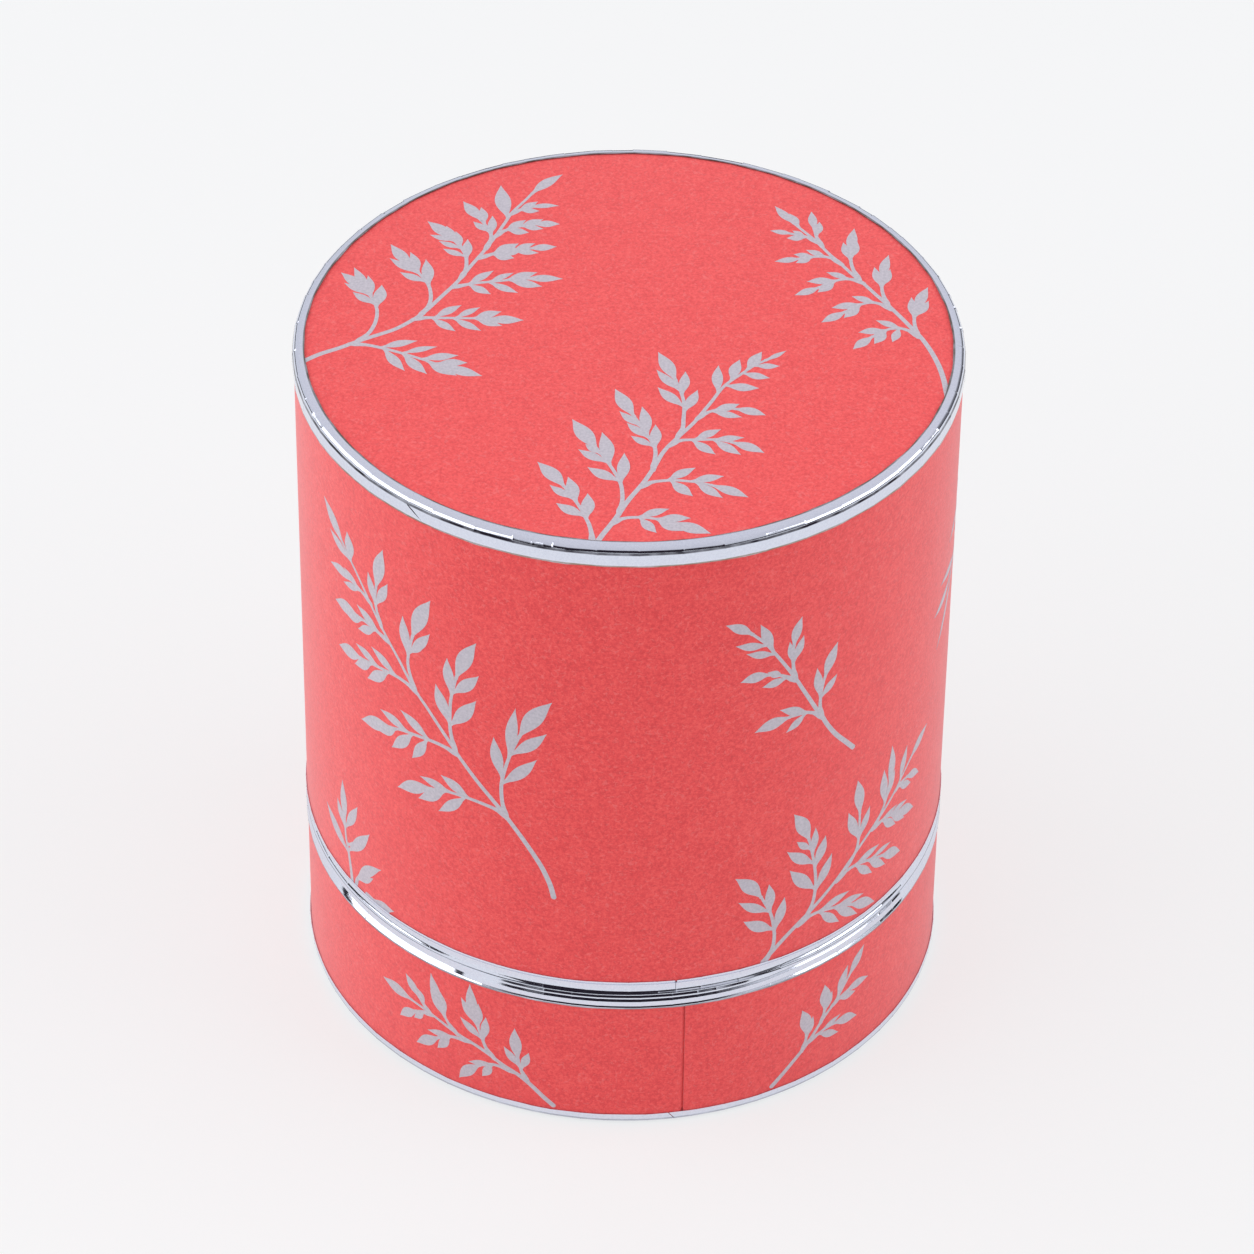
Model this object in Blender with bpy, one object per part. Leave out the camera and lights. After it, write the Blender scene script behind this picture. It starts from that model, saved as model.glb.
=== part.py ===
"""A round rigid paper box for a perfume bottle: a tall lid, a low base with a neck, a foam insert.

Metres, +Z up. The origin is the centre of the underside, where the box stands on the table.
Lid and base are board tubes with a board disc set into one end. Printed paper is rolled round each
tube, mirror foil strips are folded over the edges, and lining paper covers the inside. The lid
slides over a thinner tube, the neck, which is glued into the base.
"""

import math

import bmesh
import bpy
from mathutils import Matrix

# Whole box
outer_diameter = 0.1000          # over the printed paper
box_height = 0.1135              # table to the top edge strip
parting_height = 0.0266          # table to the line between lid and base
parting_gap = 0.0003             # between the two edge strips that meet there

# Sheet materials
board_thickness = 0.0020         # greyboard of the lid's tube
disc_board_thickness = 0.0020    # greyboard of the top and bottom discs
neck_board_thickness = 0.0015
paper_thickness = 0.0002
foil_thickness = 0.00015
card_thickness = 0.0008
glue_gap = 0.0001                # between glued layers
seat_gap = 0.0003                # between pieces that rest on or pass through each other

# Mirror foil edge strips, each measured from the fold's outside
top_strip_land = 0.0020          # on the top face
top_strip_side = 0.0034          # down the lid's side
rim_strip_side = 0.0026          # either side of the parting line
bottom_strip_side = 0.00155      # up the base's side
bottom_strip_land = 0.0037       # on the underside
strip_seam_gap = 0.0003          # where a strip's two ends meet

# Crushed edges of the board
disc_edge_round = 0.00025        # under the paper discs
rim_edge_round = 0.00075         # at the parting line

# Lap seams of the rolled papers
lap_width = 0.0080               # how far the last edge covers the first
lap_dip_width = 0.0012           # along which the sheet dips under its own edge

# Neck
neck_rise = 0.0200               # above the parting line
neck_clearance = 0.0003          # between neck and lid lining
neck_fold_depth = 0.0080         # of the silver paper turned in over the neck's rim
neck_rim_chamfer = 0.00015

# Insert
insert_clearance = 0.0003        # between insert and neck lining
insert_drop = 0.0015             # card below the neck's rim
foam_wall = 0.0144               # between recess and outside
foam_floor = 0.0100              # under the recess
foam_edge_chamfer = 0.0008
card_lip = 0.0004                # the card's hole is this much wider than the recess, all round

# Seams, as angles from the front, towards the right
lid_wrap_seam_degrees = 180.0
base_wrap_seam_degrees = 10.4
top_strip_seam_degrees = -39.0
lid_rim_seam_degrees = 9.6
base_rim_seam_degrees = 173.0
bottom_strip_seam_degrees = 8.8

# Flats: every round layer has its flats at the same angles, so that the layers nest
facets = 60
corner_steps = 2
facet_pitch = math.tau / facets
front_angle = -math.tau / 4
smooth_below_degrees = 40.0
blade_overrun = 0.0010           # of the blade that parts a strip, past the strip
merge_distance = 0.0000001

# Radii, from the outside in
wrap_radius = outer_diameter / 2
strip_radius = wrap_radius + glue_gap + foil_thickness
lap_drop = paper_thickness + glue_gap
tube_radius = wrap_radius - paper_thickness - lap_drop - glue_gap
lid_bore_radius = tube_radius - board_thickness
lining_radius = lid_bore_radius - glue_gap
lining_bore_radius = lining_radius - paper_thickness
neck_wrap_radius = lining_bore_radius - neck_clearance
neck_radius = neck_wrap_radius - paper_thickness - glue_gap
neck_bore_radius = neck_radius - neck_board_thickness
neck_lining_radius = neck_bore_radius - glue_gap
neck_lining_bore_radius = neck_lining_radius - paper_thickness
base_bore_radius = neck_wrap_radius + seat_gap
insert_radius = neck_lining_bore_radius - insert_clearance
recess_radius = insert_radius - foam_wall

# Folds of the strips: foil and glue over the board's crushed edge
disc_layers = foil_thickness + glue_gap + paper_thickness + glue_gap
disc_fold_radius = disc_layers + disc_edge_round
rim_layers = foil_thickness + glue_gap
rim_fold_radius = rim_layers + rim_edge_round
paper_disc_radius = strip_radius - disc_fold_radius

# Heights of the base, above the table
base_height = parting_height - parting_gap / 2
base_floor = disc_layers + disc_board_thickness
neck_foot = base_floor + glue_gap
neck_top = parting_height + neck_rise
floor_lining_top = neck_foot + paper_thickness

# Heights of the lid, above its own rim
lid_seat = parting_height + parting_gap / 2
lid_height = box_height - lid_seat
lid_board_top = lid_height - disc_layers
lid_board_underside = lid_board_top - disc_board_thickness
lid_ceiling = lid_board_underside - glue_gap - paper_thickness

# Heights of the insert, above its own underside
insert_seat = floor_lining_top + seat_gap
insert_height = neck_top - insert_drop - insert_seat
foam_height = insert_height - card_thickness - glue_gap


def finish(name, red, green, blue, roughness, metallic):
    """A plain material with a colour, a roughness and a metallic value."""
    material = bpy.data.materials.new(name)
    material.use_nodes = True
    shader = material.node_tree.nodes["Principled BSDF"]
    shader.inputs["Base Color"].default_value = (red, green, blue, 1.0)
    shader.inputs["Roughness"].default_value = roughness
    shader.inputs["Metallic"].default_value = metallic
    return material


def add_piece(name, shape, carrier, material):
    """Turns a finished bmesh into a named object that its carrier holds."""
    bmesh.ops.recalc_face_normals(shape, faces=shape.faces)
    mesh = bpy.data.meshes.new(name)
    shape.to_mesh(mesh)
    shape.free()
    mesh.shade_smooth()
    mesh.set_sharp_from_angle(angle=math.radians(smooth_below_degrees))
    mesh.materials.append(material)
    piece = bpy.data.objects.new(name, mesh)
    piece.parent = carrier
    bpy.context.collection.objects.link(piece)
    return piece


def add_carrier(name, height):
    """An empty on the box's axis, which the pieces of one body hang on."""
    carrier = bpy.data.objects.new(name, None)
    carrier.location = (0.0, 0.0, height)
    bpy.context.collection.objects.link(carrier)
    return carrier


def turn(name, outline, carrier, material):
    """Spins an outline of (radius, height) points round the box's axis.

    An outline that starts and ends on the axis stays open there, and any other one is closed.
    """
    shape = bmesh.new()
    corners = [shape.verts.new((radius, 0.0, height)) for radius, height in outline]
    reaches_axis = outline[0][0] == 0.0 and outline[-1][0] == 0.0
    first_edge = 1 if reaches_axis else 0
    edges = [shape.edges.new((corners[i - 1], corners[i])) for i in range(first_edge, len(corners))]
    bmesh.ops.spin(
        shape,
        geom=corners + edges,
        cent=(0.0, 0.0, 0.0),
        axis=(0.0, 0.0, 1.0),
        angle=math.tau,
        steps=facets,
        use_merge=True,
    )
    bmesh.ops.remove_doubles(shape, verts=shape.verts, dist=merge_distance)
    return add_piece(name, shape, carrier, material)


def disc(name, radius, underside, thickness, carrier, material):
    """A flat round sheet."""
    top = underside + thickness
    outline = [(0.0, underside), (radius, underside), (radius, top), (0.0, top)]
    return turn(name, outline, carrier, material)


def sleeve(name, bore_radius, radius, low, high, carrier, material):
    """A plain straight ring, such as a lining."""
    outline = [(bore_radius, low), (radius, low), (radius, high), (bore_radius, high)]
    return turn(name, outline, carrier, material)


def corner_arc(centre, radius, start_degrees, end_degrees):
    """The points of a rounded corner, between two directions in the plane of the outline."""
    points = []
    for step in range(corner_steps + 1):
        degrees = start_degrees + (end_degrees - start_degrees) * step / corner_steps
        angle = math.radians(degrees)
        points.append((centre[0] + radius * math.cos(angle), centre[1] + radius * math.sin(angle)))
    return points


def folded_strip(name, fold_radius, side, land, edge_height, upwards, seam_degrees, carrier, material):
    """A foil strip folded over an edge: one leg on the side, the other on the flat face.

    The edge lies at edge_height. The side leg hangs down from an upper edge (upwards is true) and
    stands up from a lower one. The strip's two ends meet in a butt seam.
    """
    way = 1.0 if upwards else -1.0
    centre = (strip_radius - fold_radius, edge_height - way * fold_radius)
    side_end = edge_height - way * side
    land_end = strip_radius - land
    inner_radius = fold_radius - foil_thickness
    outline = [(strip_radius, side_end)]
    outline += corner_arc(centre, fold_radius, 0.0, way * 90.0)
    outline += [(land_end, edge_height), (land_end, edge_height - way * foil_thickness)]
    outline += corner_arc(centre, inner_radius, way * 90.0, 0.0)
    outline += [(strip_radius - foil_thickness, side_end)]
    strip = turn(name, outline, carrier, material)
    cut_butt_seam(strip, seam_degrees, land, side, (edge_height + side_end) / 2)
    return strip


def cut_butt_seam(strip, seam_degrees, land, side, middle_height):
    """Parts a strip where its two ends meet, with a narrow blade at the seam's angle."""
    reach = land + 2 * blade_overrun
    middle = Matrix.Translation((strip_radius - land / 2, 0.0, middle_height))
    size = Matrix.Diagonal((reach, strip_seam_gap, side + 2 * blade_overrun, 1.0))
    shape = bmesh.new()
    bmesh.ops.create_cube(shape, size=1.0, matrix=middle @ size)
    mesh = bpy.data.meshes.new(strip.name + "_seam_blade")
    shape.to_mesh(mesh)
    shape.free()
    blade = bpy.data.objects.new(mesh.name, mesh)
    blade.rotation_euler.z = front_angle + math.radians(seam_degrees)
    blade.parent = strip.parent
    blade.hide_render = True
    blade.display_type = "WIRE"
    bpy.context.collection.objects.link(blade)
    cut = strip.modifiers.new("butt seam", "BOOLEAN")
    cut.operation = "DIFFERENCE"
    cut.solver = "EXACT"
    cut.object = blade


def radius_on_flat(corner_radius, angle):
    """The radius of a point on the flat between two corners of a round layer."""
    from_middle = angle % facet_pitch - facet_pitch / 2
    return corner_radius * math.cos(facet_pitch / 2) / math.cos(from_middle)


def rolled_paper(name, low, high, seam_degrees, carrier, material):
    """A sheet rolled round the tube. Past a full turn it dips and runs on under its first edge."""
    seam = front_angle + math.radians(seam_degrees)
    lap_angle = lap_width / wrap_radius
    dip_end = math.tau - glue_gap / wrap_radius
    dip_start = dip_end - lap_dip_width / wrap_radius
    runs = [0.0, dip_start, dip_end, math.tau + lap_angle]
    first_corner = math.floor(seam / facet_pitch) + 1
    for corner in range(first_corner, first_corner + 2 * facets):
        run = corner * facet_pitch - seam
        if run < math.tau + lap_angle:
            runs.append(run)
    runs.sort()
    shape = bmesh.new()
    stations = []
    for run in runs:
        dip_share = min(max((run - dip_start) / (dip_end - dip_start), 0.0), 1.0)
        outside = wrap_radius - lap_drop * dip_share
        angle = seam + run
        station = []
        for layer, height in ((0.0, low), (0.0, high), (paper_thickness, high), (paper_thickness, low)):
            radius = radius_on_flat(outside - layer, angle)
            station.append(shape.verts.new((radius * math.cos(angle), radius * math.sin(angle), height)))
        stations.append(station)
    for before, after in zip(stations, stations[1:]):
        for side in range(4):
            shape.faces.new((before[side - 1], before[side], after[side], after[side - 1]))
    shape.faces.new(stations[0])
    shape.faces.new(stations[-1])
    return add_piece(name, shape, carrier, material)


def make_lid(lid, board, paper, foil, lining):
    """The lid, with its rim at height zero."""
    rim_round_centre = (tube_radius - rim_edge_round, rim_fold_radius)
    top_round_centre = (tube_radius - disc_edge_round, lid_board_top - disc_edge_round)
    outline = [(lid_bore_radius, rim_layers)]
    outline += corner_arc(rim_round_centre, rim_edge_round, -90.0, 0.0)
    outline += corner_arc(top_round_centre, disc_edge_round, 0.0, 90.0)
    outline += [(lid_bore_radius, lid_board_top)]
    turn("lid_tube", outline, lid, board)
    disc(
        "lid_top_board", lid_bore_radius - glue_gap, lid_board_underside, disc_board_thickness, lid, board
    )
    rolled_paper(
        "lid_side_wrap", rim_fold_radius, lid_height - disc_fold_radius, lid_wrap_seam_degrees, lid, paper
    )
    disc("lid_top_paper", paper_disc_radius, lid_board_top + glue_gap, paper_thickness, lid, paper)
    folded_strip(
        "lid_top_edge_foil",
        disc_fold_radius,
        top_strip_side,
        top_strip_land,
        lid_height,
        True,
        top_strip_seam_degrees,
        lid,
        foil,
    )
    folded_strip(
        "lid_rim_foil",
        rim_fold_radius,
        rim_strip_side,
        strip_radius - lid_bore_radius,
        0.0,
        False,
        lid_rim_seam_degrees,
        lid,
        foil,
    )
    sleeve(
        "lid_lining_wrap",
        lining_bore_radius,
        lining_radius,
        rim_layers,
        lid_ceiling - glue_gap,
        lid,
        lining,
    )
    disc("lid_lining_disc", lining_radius, lid_ceiling, paper_thickness, lid, lining)


def make_base(base, board, paper, foil, lining):
    """The base without its neck, standing on the table at height zero."""
    bottom_round_centre = (tube_radius - disc_edge_round, disc_fold_radius)
    rim_round_centre = (tube_radius - rim_edge_round, base_height - rim_fold_radius)
    outline = [(base_bore_radius, disc_layers)]
    outline += corner_arc(bottom_round_centre, disc_edge_round, -90.0, 0.0)
    outline += corner_arc(rim_round_centre, rim_edge_round, 0.0, 90.0)
    outline += [(base_bore_radius, base_height - rim_layers)]
    turn("base_tube", outline, base, board)
    disc(
        "base_bottom_board", base_bore_radius - glue_gap, disc_layers, disc_board_thickness, base, board
    )
    rolled_paper(
        "base_side_wrap",
        disc_fold_radius,
        base_height - rim_fold_radius,
        base_wrap_seam_degrees,
        base,
        paper,
    )
    disc(
        "base_bottom_paper", paper_disc_radius, foil_thickness + glue_gap, paper_thickness, base, paper
    )
    folded_strip(
        "base_rim_foil",
        rim_fold_radius,
        rim_strip_side,
        strip_radius - base_bore_radius,
        base_height,
        True,
        base_rim_seam_degrees,
        base,
        foil,
    )
    folded_strip(
        "base_bottom_edge_foil",
        disc_fold_radius,
        bottom_strip_side,
        bottom_strip_land,
        0.0,
        False,
        bottom_strip_seam_degrees,
        base,
        foil,
    )
    disc(
        "base_floor_lining",
        neck_lining_bore_radius - glue_gap,
        neck_foot,
        paper_thickness,
        base,
        lining,
    )


def make_neck(base, board, silver, lining):
    """The tube that the lid slides over. Its silver paper is turned in over the rim."""
    board_top = neck_top - paper_thickness - glue_gap
    fold_end = neck_top - neck_fold_depth
    wrap_bore = neck_wrap_radius - paper_thickness
    sleeve("neck_tube", neck_bore_radius, neck_radius, neck_foot, board_top, base, board)
    outline = [
        (neck_wrap_radius, neck_foot),
        (neck_wrap_radius, neck_top - neck_rim_chamfer),
        (neck_wrap_radius - neck_rim_chamfer, neck_top),
        (neck_lining_bore_radius + neck_rim_chamfer, neck_top),
        (neck_lining_bore_radius, neck_top - neck_rim_chamfer),
        (neck_lining_bore_radius, fold_end),
        (neck_lining_radius, fold_end),
        (neck_lining_radius, board_top + glue_gap),
        (wrap_bore, board_top + glue_gap),
        (wrap_bore, neck_foot),
    ]
    turn("neck_foil_wrap", outline, base, silver)
    sleeve(
        "neck_lining",
        neck_lining_bore_radius,
        neck_lining_radius,
        neck_foot,
        fold_end - glue_gap,
        base,
        lining,
    )


def make_insert(insert, foam, card):
    """The foam block with its bottle recess, and the card ring on it."""
    edge = insert_radius - foam_edge_chamfer
    outline = [
        (0.0, 0.0),
        (edge, 0.0),
        (insert_radius, foam_edge_chamfer),
        (insert_radius, foam_height),
        (recess_radius, foam_height),
        (recess_radius, foam_floor),
        (0.0, foam_floor),
    ]
    turn("insert_foam_block", outline, insert, foam)
    sleeve(
        "insert_top_card",
        recess_radius + card_lip,
        insert_radius,
        foam_height + glue_gap,
        insert_height,
        insert,
        card,
    )


def make_box():
    """Clears the scene and puts the three bodies in their places, with the box closed."""
    for old in list(bpy.data.objects):
        bpy.data.objects.remove(old)
    board = finish("greyboard", 0.36, 0.33, 0.29, 0.90, 0.0)
    paper = finish("coral_paper", 0.88, 0.15, 0.14, 0.80, 0.0)
    foil = finish("mirror_foil", 0.80, 0.81, 0.86, 0.12, 1.0)
    silver = finish("silver_paper", 0.62, 0.63, 0.68, 0.35, 1.0)
    lining = finish("lining_paper", 0.82, 0.80, 0.77, 0.85, 0.0)
    foam = finish("foam", 0.78, 0.77, 0.75, 0.95, 0.0)
    card = finish("white_card", 0.80, 0.79, 0.77, 0.75, 0.0)
    base = add_carrier("base", 0.0)
    lid = add_carrier("lid", lid_seat)
    insert = add_carrier("insert", insert_seat)
    make_base(base, board, paper, foil, lining)
    make_neck(base, board, silver, lining)
    make_lid(lid, board, paper, foil, lining)
    make_insert(insert, foam, card)


make_box()
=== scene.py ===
import math
import random
from functools import partial

import bmesh
import bpy
from mathutils import Matrix, Vector
from mathutils.geometry import delaunay_2d_cdt


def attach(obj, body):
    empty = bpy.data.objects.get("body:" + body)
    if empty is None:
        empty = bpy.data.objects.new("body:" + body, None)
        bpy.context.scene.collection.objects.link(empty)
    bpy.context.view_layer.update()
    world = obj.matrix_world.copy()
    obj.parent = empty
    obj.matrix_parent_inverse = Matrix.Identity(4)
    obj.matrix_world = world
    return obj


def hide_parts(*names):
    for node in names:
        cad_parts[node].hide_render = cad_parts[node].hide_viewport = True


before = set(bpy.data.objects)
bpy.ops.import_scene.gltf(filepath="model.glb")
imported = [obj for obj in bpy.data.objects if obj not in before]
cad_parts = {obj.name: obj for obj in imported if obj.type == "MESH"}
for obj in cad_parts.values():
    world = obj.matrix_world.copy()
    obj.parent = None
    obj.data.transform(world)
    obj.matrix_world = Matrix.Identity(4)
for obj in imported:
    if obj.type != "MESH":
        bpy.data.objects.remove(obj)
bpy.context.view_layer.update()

# A round rigid gift box, rolled from board and coral paper: a lid, a base with a neck that the lid slides
# over, and a foam insert. Sizes are in millimetres, and angles in degrees from the front, growing to the
# right.
MM = 0.001

# The box
paper_radius = 50.0
paper_thickness = 0.2
foil_radius = 50.25
foil_thickness = 0.15
steps_round = 360
merge_distance = 0.0005
crease_angle = 42.0

# Heights, and the radii of the neck with its foil and lining
box_height = 113.5
top_paper_height = 113.25
lid_rim_height = 26.75
base_rim_height = 26.45
base_floor = 2.65
neck_inside = 44.7
neck_outside = 46.8
neck_height = 46.6

# Where the sheets and strips meet
lid_side_seam = 180.0
base_side_seam = 11.4
top_strip_seam = -39.0
lid_rim_strip_seam = 9.6
base_rim_strip_seam = 173.0
bottom_strip_seam = 8.8
lining_seam = 168.0
neck_seam = 150.0


# ---- Finishes ----


def linear(code):
    """An sRGB hex colour as linear red, green and blue, with a full alpha."""
    shares = [int(code[i : i + 2], 16) / 255 for i in (1, 3, 5)]
    return [s / 12.92 if s <= 0.04045 else ((s + 0.055) / 1.055) ** 2.4 for s in shares] + [1.0]


def add(tree, kind, inputs=(), out=0, stops=(), **settings):
    """Adds a node with its settings. An input is a number, a colour or another node's output."""
    made = tree.nodes.new(kind)
    for name, value in settings.items():
        setattr(made, name, value)
    for socket, value in dict(inputs).items():
        if isinstance(value, bpy.types.NodeSocket):
            tree.links.new(value, made.inputs[socket])
        else:
            made.inputs[socket].default_value = value
    for i, (place, code) in enumerate(stops):
        ramp = made.color_ramp.elements
        stop = ramp[0] if i == 0 else ramp[-1] if i == 1 else ramp.new(place)
        stop.position = place
        stop.color = linear(code)
    return made.outputs[out] if len(made.outputs) else made


def new_finish(name):
    """An empty material, with the function that adds nodes to it."""
    finish = bpy.data.materials.new(name)
    finish.use_nodes = True
    finish.node_tree.nodes.clear()
    return finish, partial(add, finish.node_tree)


def place_in_mm(put):
    """The place on the piece in millimetres, which moves with the piece."""
    place = put("ShaderNodeTexCoord", out="Object")
    return put("ShaderNodeVectorMath", {0: place, "Scale": 1.0 / MM}, operation="SCALE")


def near(put, value, middle, inner, outer):
    """1 where a value is within inner of the middle, and 0 where it is further from it than outer."""
    off = put("ShaderNodeMath", {0: value, 1: middle}, operation="SUBTRACT")
    off = put("ShaderNodeMath", {0: off}, operation="ABSOLUTE")
    return put(
        "ShaderNodeMapRange",
        {"Value": off, "From Min": inner, "From Max": outer, "To Min": 1.0, "To Max": 0.0},
    )


def coral_paper():
    """Uncoated paper, dyed coral in the pulp: soft and matt, clouded, with short fibres pressed into it."""
    finish, put = new_finish("coral_paper_uncoated")
    place = place_in_mm(put)
    # Clouds in the pulp are 3 to 4 mm wide, and the mottling between fibres about 0.6 mm.
    clouds = put("ShaderNodeTexNoise", {"Vector": place, "Scale": 0.3, "Detail": 2.0, "Roughness": 0.6})
    mottle = put("ShaderNodeTexNoise", {"Vector": place, "Scale": 1.8, "Detail": 3.0, "Roughness": 0.8})
    clouds = put("ShaderNodeMath", {0: clouds, 1: 0.2}, operation="MULTIPLY")
    both = put("ShaderNodeMath", {0: mottle, 1: 0.8, 2: clouds}, operation="MULTIPLY_ADD")
    colour = put(
        "ShaderNodeValToRGB",
        {"Fac": both},
        stops=((0.38, "#EA393C"), (0.62, "#FD5754"), (0.5, "#F64748")),
    )
    # The fibres are up to 1.4 mm long and 0.05 mm wide, drawn 0.15 mm wide so that they show. Some are dark,
    # and over them lie pale ones, which stand up a little.
    for seed, shade in ((1, "#D8383D"), (0, "#F98482")):
        lines = put(
            "ShaderNodeTexNoise",
            {"Vector": place, "W": 3.0 * seed, "Scale": 0.9, "Detail": 1.0, "Distortion": 0.4},
            noise_dimensions="4D",
        )
        thin = near(put, lines, 0.5, 0.01, 0.04)
        cut = put(
            "ShaderNodeTexNoise",
            {"Vector": place, "W": 7.0 + seed, "Scale": 1.3, "Detail": 0.0},
            noise_dimensions="4D",
        )
        cut = put("ShaderNodeMapRange", {"Value": cut, "From Min": 0.5, "From Max": 0.6})
        fibres = put("ShaderNodeMath", {0: thin, 1: cut}, operation="MULTIPLY")
        share = put("ShaderNodeMath", {0: fibres, 1: 0.3}, operation="MULTIPLY")
        colour = put("ShaderNodeMix", {0: share, 6: colour, 7: linear(shade)}, out=2, data_type="RGBA")
    tooth = put("ShaderNodeTexNoise", {"Vector": place, "Scale": 4.0, "Detail": 4.0, "Roughness": 0.65})
    height = put("ShaderNodeMath", {0: fibres, 1: 0.3, 2: tooth}, operation="MULTIPLY_ADD")
    relief = put("ShaderNodeBump", {"Height": height, "Strength": 0.35, "Distance": 0.00006})
    shader = put(
        "ShaderNodeBsdfPrincipled",
        {
            "Base Color": colour,
            "Roughness": 0.75,
            "IOR": 1.38,
            "Sheen Weight": 0.5,
            "Sheen Roughness": 0.5,
            "Sheen Tint": linear("#FFFFFF"),
            "Normal": relief,
        },
    )
    put("ShaderNodeOutputMaterial", {"Surface": shader})
    return finish


def silver_ink():
    """Matt silver ink, screen-printed: a flat pale grey with a faint violet cast and a dull grain."""
    finish, put = new_finish("silver_ink_printed")
    place = place_in_mm(put)
    # The metal flakes lie in patches about 0.4 mm wide, on a paper tooth of 0.25 mm.
    patches = put("ShaderNodeTexNoise", {"Vector": place, "Scale": 2.4, "Detail": 3.0, "Roughness": 0.6})
    colour = put("ShaderNodeValToRGB", {"Fac": patches}, stops=((0.35, "#C0BBC4"), (0.65, "#D1CBD3")))
    tooth = put("ShaderNodeTexNoise", {"Vector": place, "Scale": 4.0, "Detail": 3.0, "Roughness": 0.6})
    relief = put("ShaderNodeBump", {"Height": tooth, "Strength": 0.25, "Distance": 0.00005})
    roughness = put("ShaderNodeMapRange", {"Value": patches, "To Min": 0.55, "To Max": 0.7})
    shader = put(
        "ShaderNodeBsdfPrincipled",
        {"Base Color": colour, "Metallic": 0.1, "Roughness": roughness, "Normal": relief},
    )
    put("ShaderNodeOutputMaterial", {"Surface": shader})
    return finish


def mirror_foil(name, lines=()):
    """Aluminium foil laminated to paper, folded over by hand: bright, with faint dents and painted dark
    lines.

    lines are dark lines painted along the strip, at folds, gaps and edges: some are painted shade and painted
    reflections of dark surroundings, some the colour of a cut edge. Each gives what is measured (height, or
    distance from the axis), where the line is, half its width, its colour and how strong it is.
    """
    finish, put = new_finish(name)
    place = place_in_mm(put)
    height = put("ShaderNodeSeparateXYZ", {0: place}, out="Z")
    flat = put("ShaderNodeVectorMath", {0: place, 1: (1.0, 1.0, 0.0)}, operation="MULTIPLY")
    distance = put("ShaderNodeVectorMath", {0: flat}, out="Value", operation="LENGTH")
    # Soft upright dents from the hand are 3 mm wide, and fine scuffs 0.3 mm.
    upright = put("ShaderNodeVectorMath", {0: place, 1: (1.0, 1.0, 0.15)}, operation="MULTIPLY")
    dents = put("ShaderNodeTexNoise", {"Vector": upright, "Scale": 0.35, "Detail": 2.0})
    scuffs = put("ShaderNodeTexNoise", {"Vector": place, "Scale": 3.0, "Detail": 4.0, "Roughness": 0.7})
    colour = put("ShaderNodeValToRGB", {"Fac": scuffs}, stops=((0.3, "#D6DAE9"), (0.7, "#E3E7F3")))
    for measure, middle, half, code, strength in lines:
        across = height if measure == "height" else distance
        line = near(put, across, middle, half * 0.5, half)
        # Each line comes and goes every 3 mm or so.
        broken = put(
            "ShaderNodeTexNoise",
            {"Vector": place, "W": middle, "Scale": 0.35, "Detail": 3.0},
            noise_dimensions="4D",
        )
        broken = put(
            "ShaderNodeMapRange",
            {"Value": broken, "From Min": 0.3, "From Max": 0.6, "To Min": 0.5 * strength, "To Max": strength},
        )
        share = put("ShaderNodeMath", {0: line, 1: broken}, operation="MULTIPLY")
        colour = put("ShaderNodeMix", {0: share, 6: colour, 7: linear(code)}, out=2, data_type="RGBA")
    relief = put("ShaderNodeBump", {"Height": dents, "Strength": 0.5, "Distance": 0.00006})
    relief = put(
        "ShaderNodeBump",
        {"Height": scuffs, "Strength": 0.15, "Distance": 0.00002, "Normal": relief},
    )
    roughness = put("ShaderNodeMapRange", {"Value": scuffs, "To Min": 0.05, "To Max": 0.14})
    shader = put(
        "ShaderNodeBsdfPrincipled",
        {"Base Color": colour, "Metallic": 1.0, "Roughness": roughness, "Normal": relief},
    )
    put("ShaderNodeOutputMaterial", {"Surface": shader})
    return finish


def plain_sheet(name, dark, pale, grain, roughness, depth):
    """Pressed pulp: a matt sheet whose tone and surface change a little with its fibres.

    grain is how wide a fleck is and depth how deep, in millimetres.
    """
    finish, put = new_finish(name)
    place = place_in_mm(put)
    grains = put(
        "ShaderNodeTexNoise",
        {"Vector": place, "Scale": 1.0 / grain, "Detail": 4.0, "Roughness": 0.65},
    )
    colour = put("ShaderNodeValToRGB", {"Fac": grains}, stops=((0.32, dark), (0.68, pale)))
    relief = put("ShaderNodeBump", {"Height": grains, "Strength": 0.3, "Distance": depth * MM})
    shader = put(
        "ShaderNodeBsdfPrincipled",
        {"Base Color": colour, "Roughness": roughness, "IOR": 1.45, "Normal": relief},
    )
    put("ShaderNodeOutputMaterial", {"Surface": shader})
    return finish


def cut_foam():
    """White polyethylene foam, cut with a hot blade: closed cells about 0.5 mm wide that glint a little."""
    finish, put = new_finish("polyethylene_foam_cut")
    place = place_in_mm(put)
    # The cells are drawn 0.8 mm wide, so that they show.
    cells = put("ShaderNodeTexVoronoi", {"Vector": place, "Scale": 1.25}, feature="F1")
    colour = put("ShaderNodeValToRGB", {"Fac": cells}, stops=((0.1, "#F0EFEC"), (0.7, "#DDDBD7")))
    relief = put("ShaderNodeBump", {"Height": cells, "Strength": 0.5, "Distance": 0.00015}, invert=True)
    shader = put(
        "ShaderNodeBsdfPrincipled",
        {
            "Base Color": colour,
            "Roughness": 0.6,
            "IOR": 1.5,
            "Subsurface Weight": 0.1,
            "Subsurface Scale": 0.002,
            "Normal": relief,
        },
    )
    put("ShaderNodeOutputMaterial", {"Surface": shader})
    return finish


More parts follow.
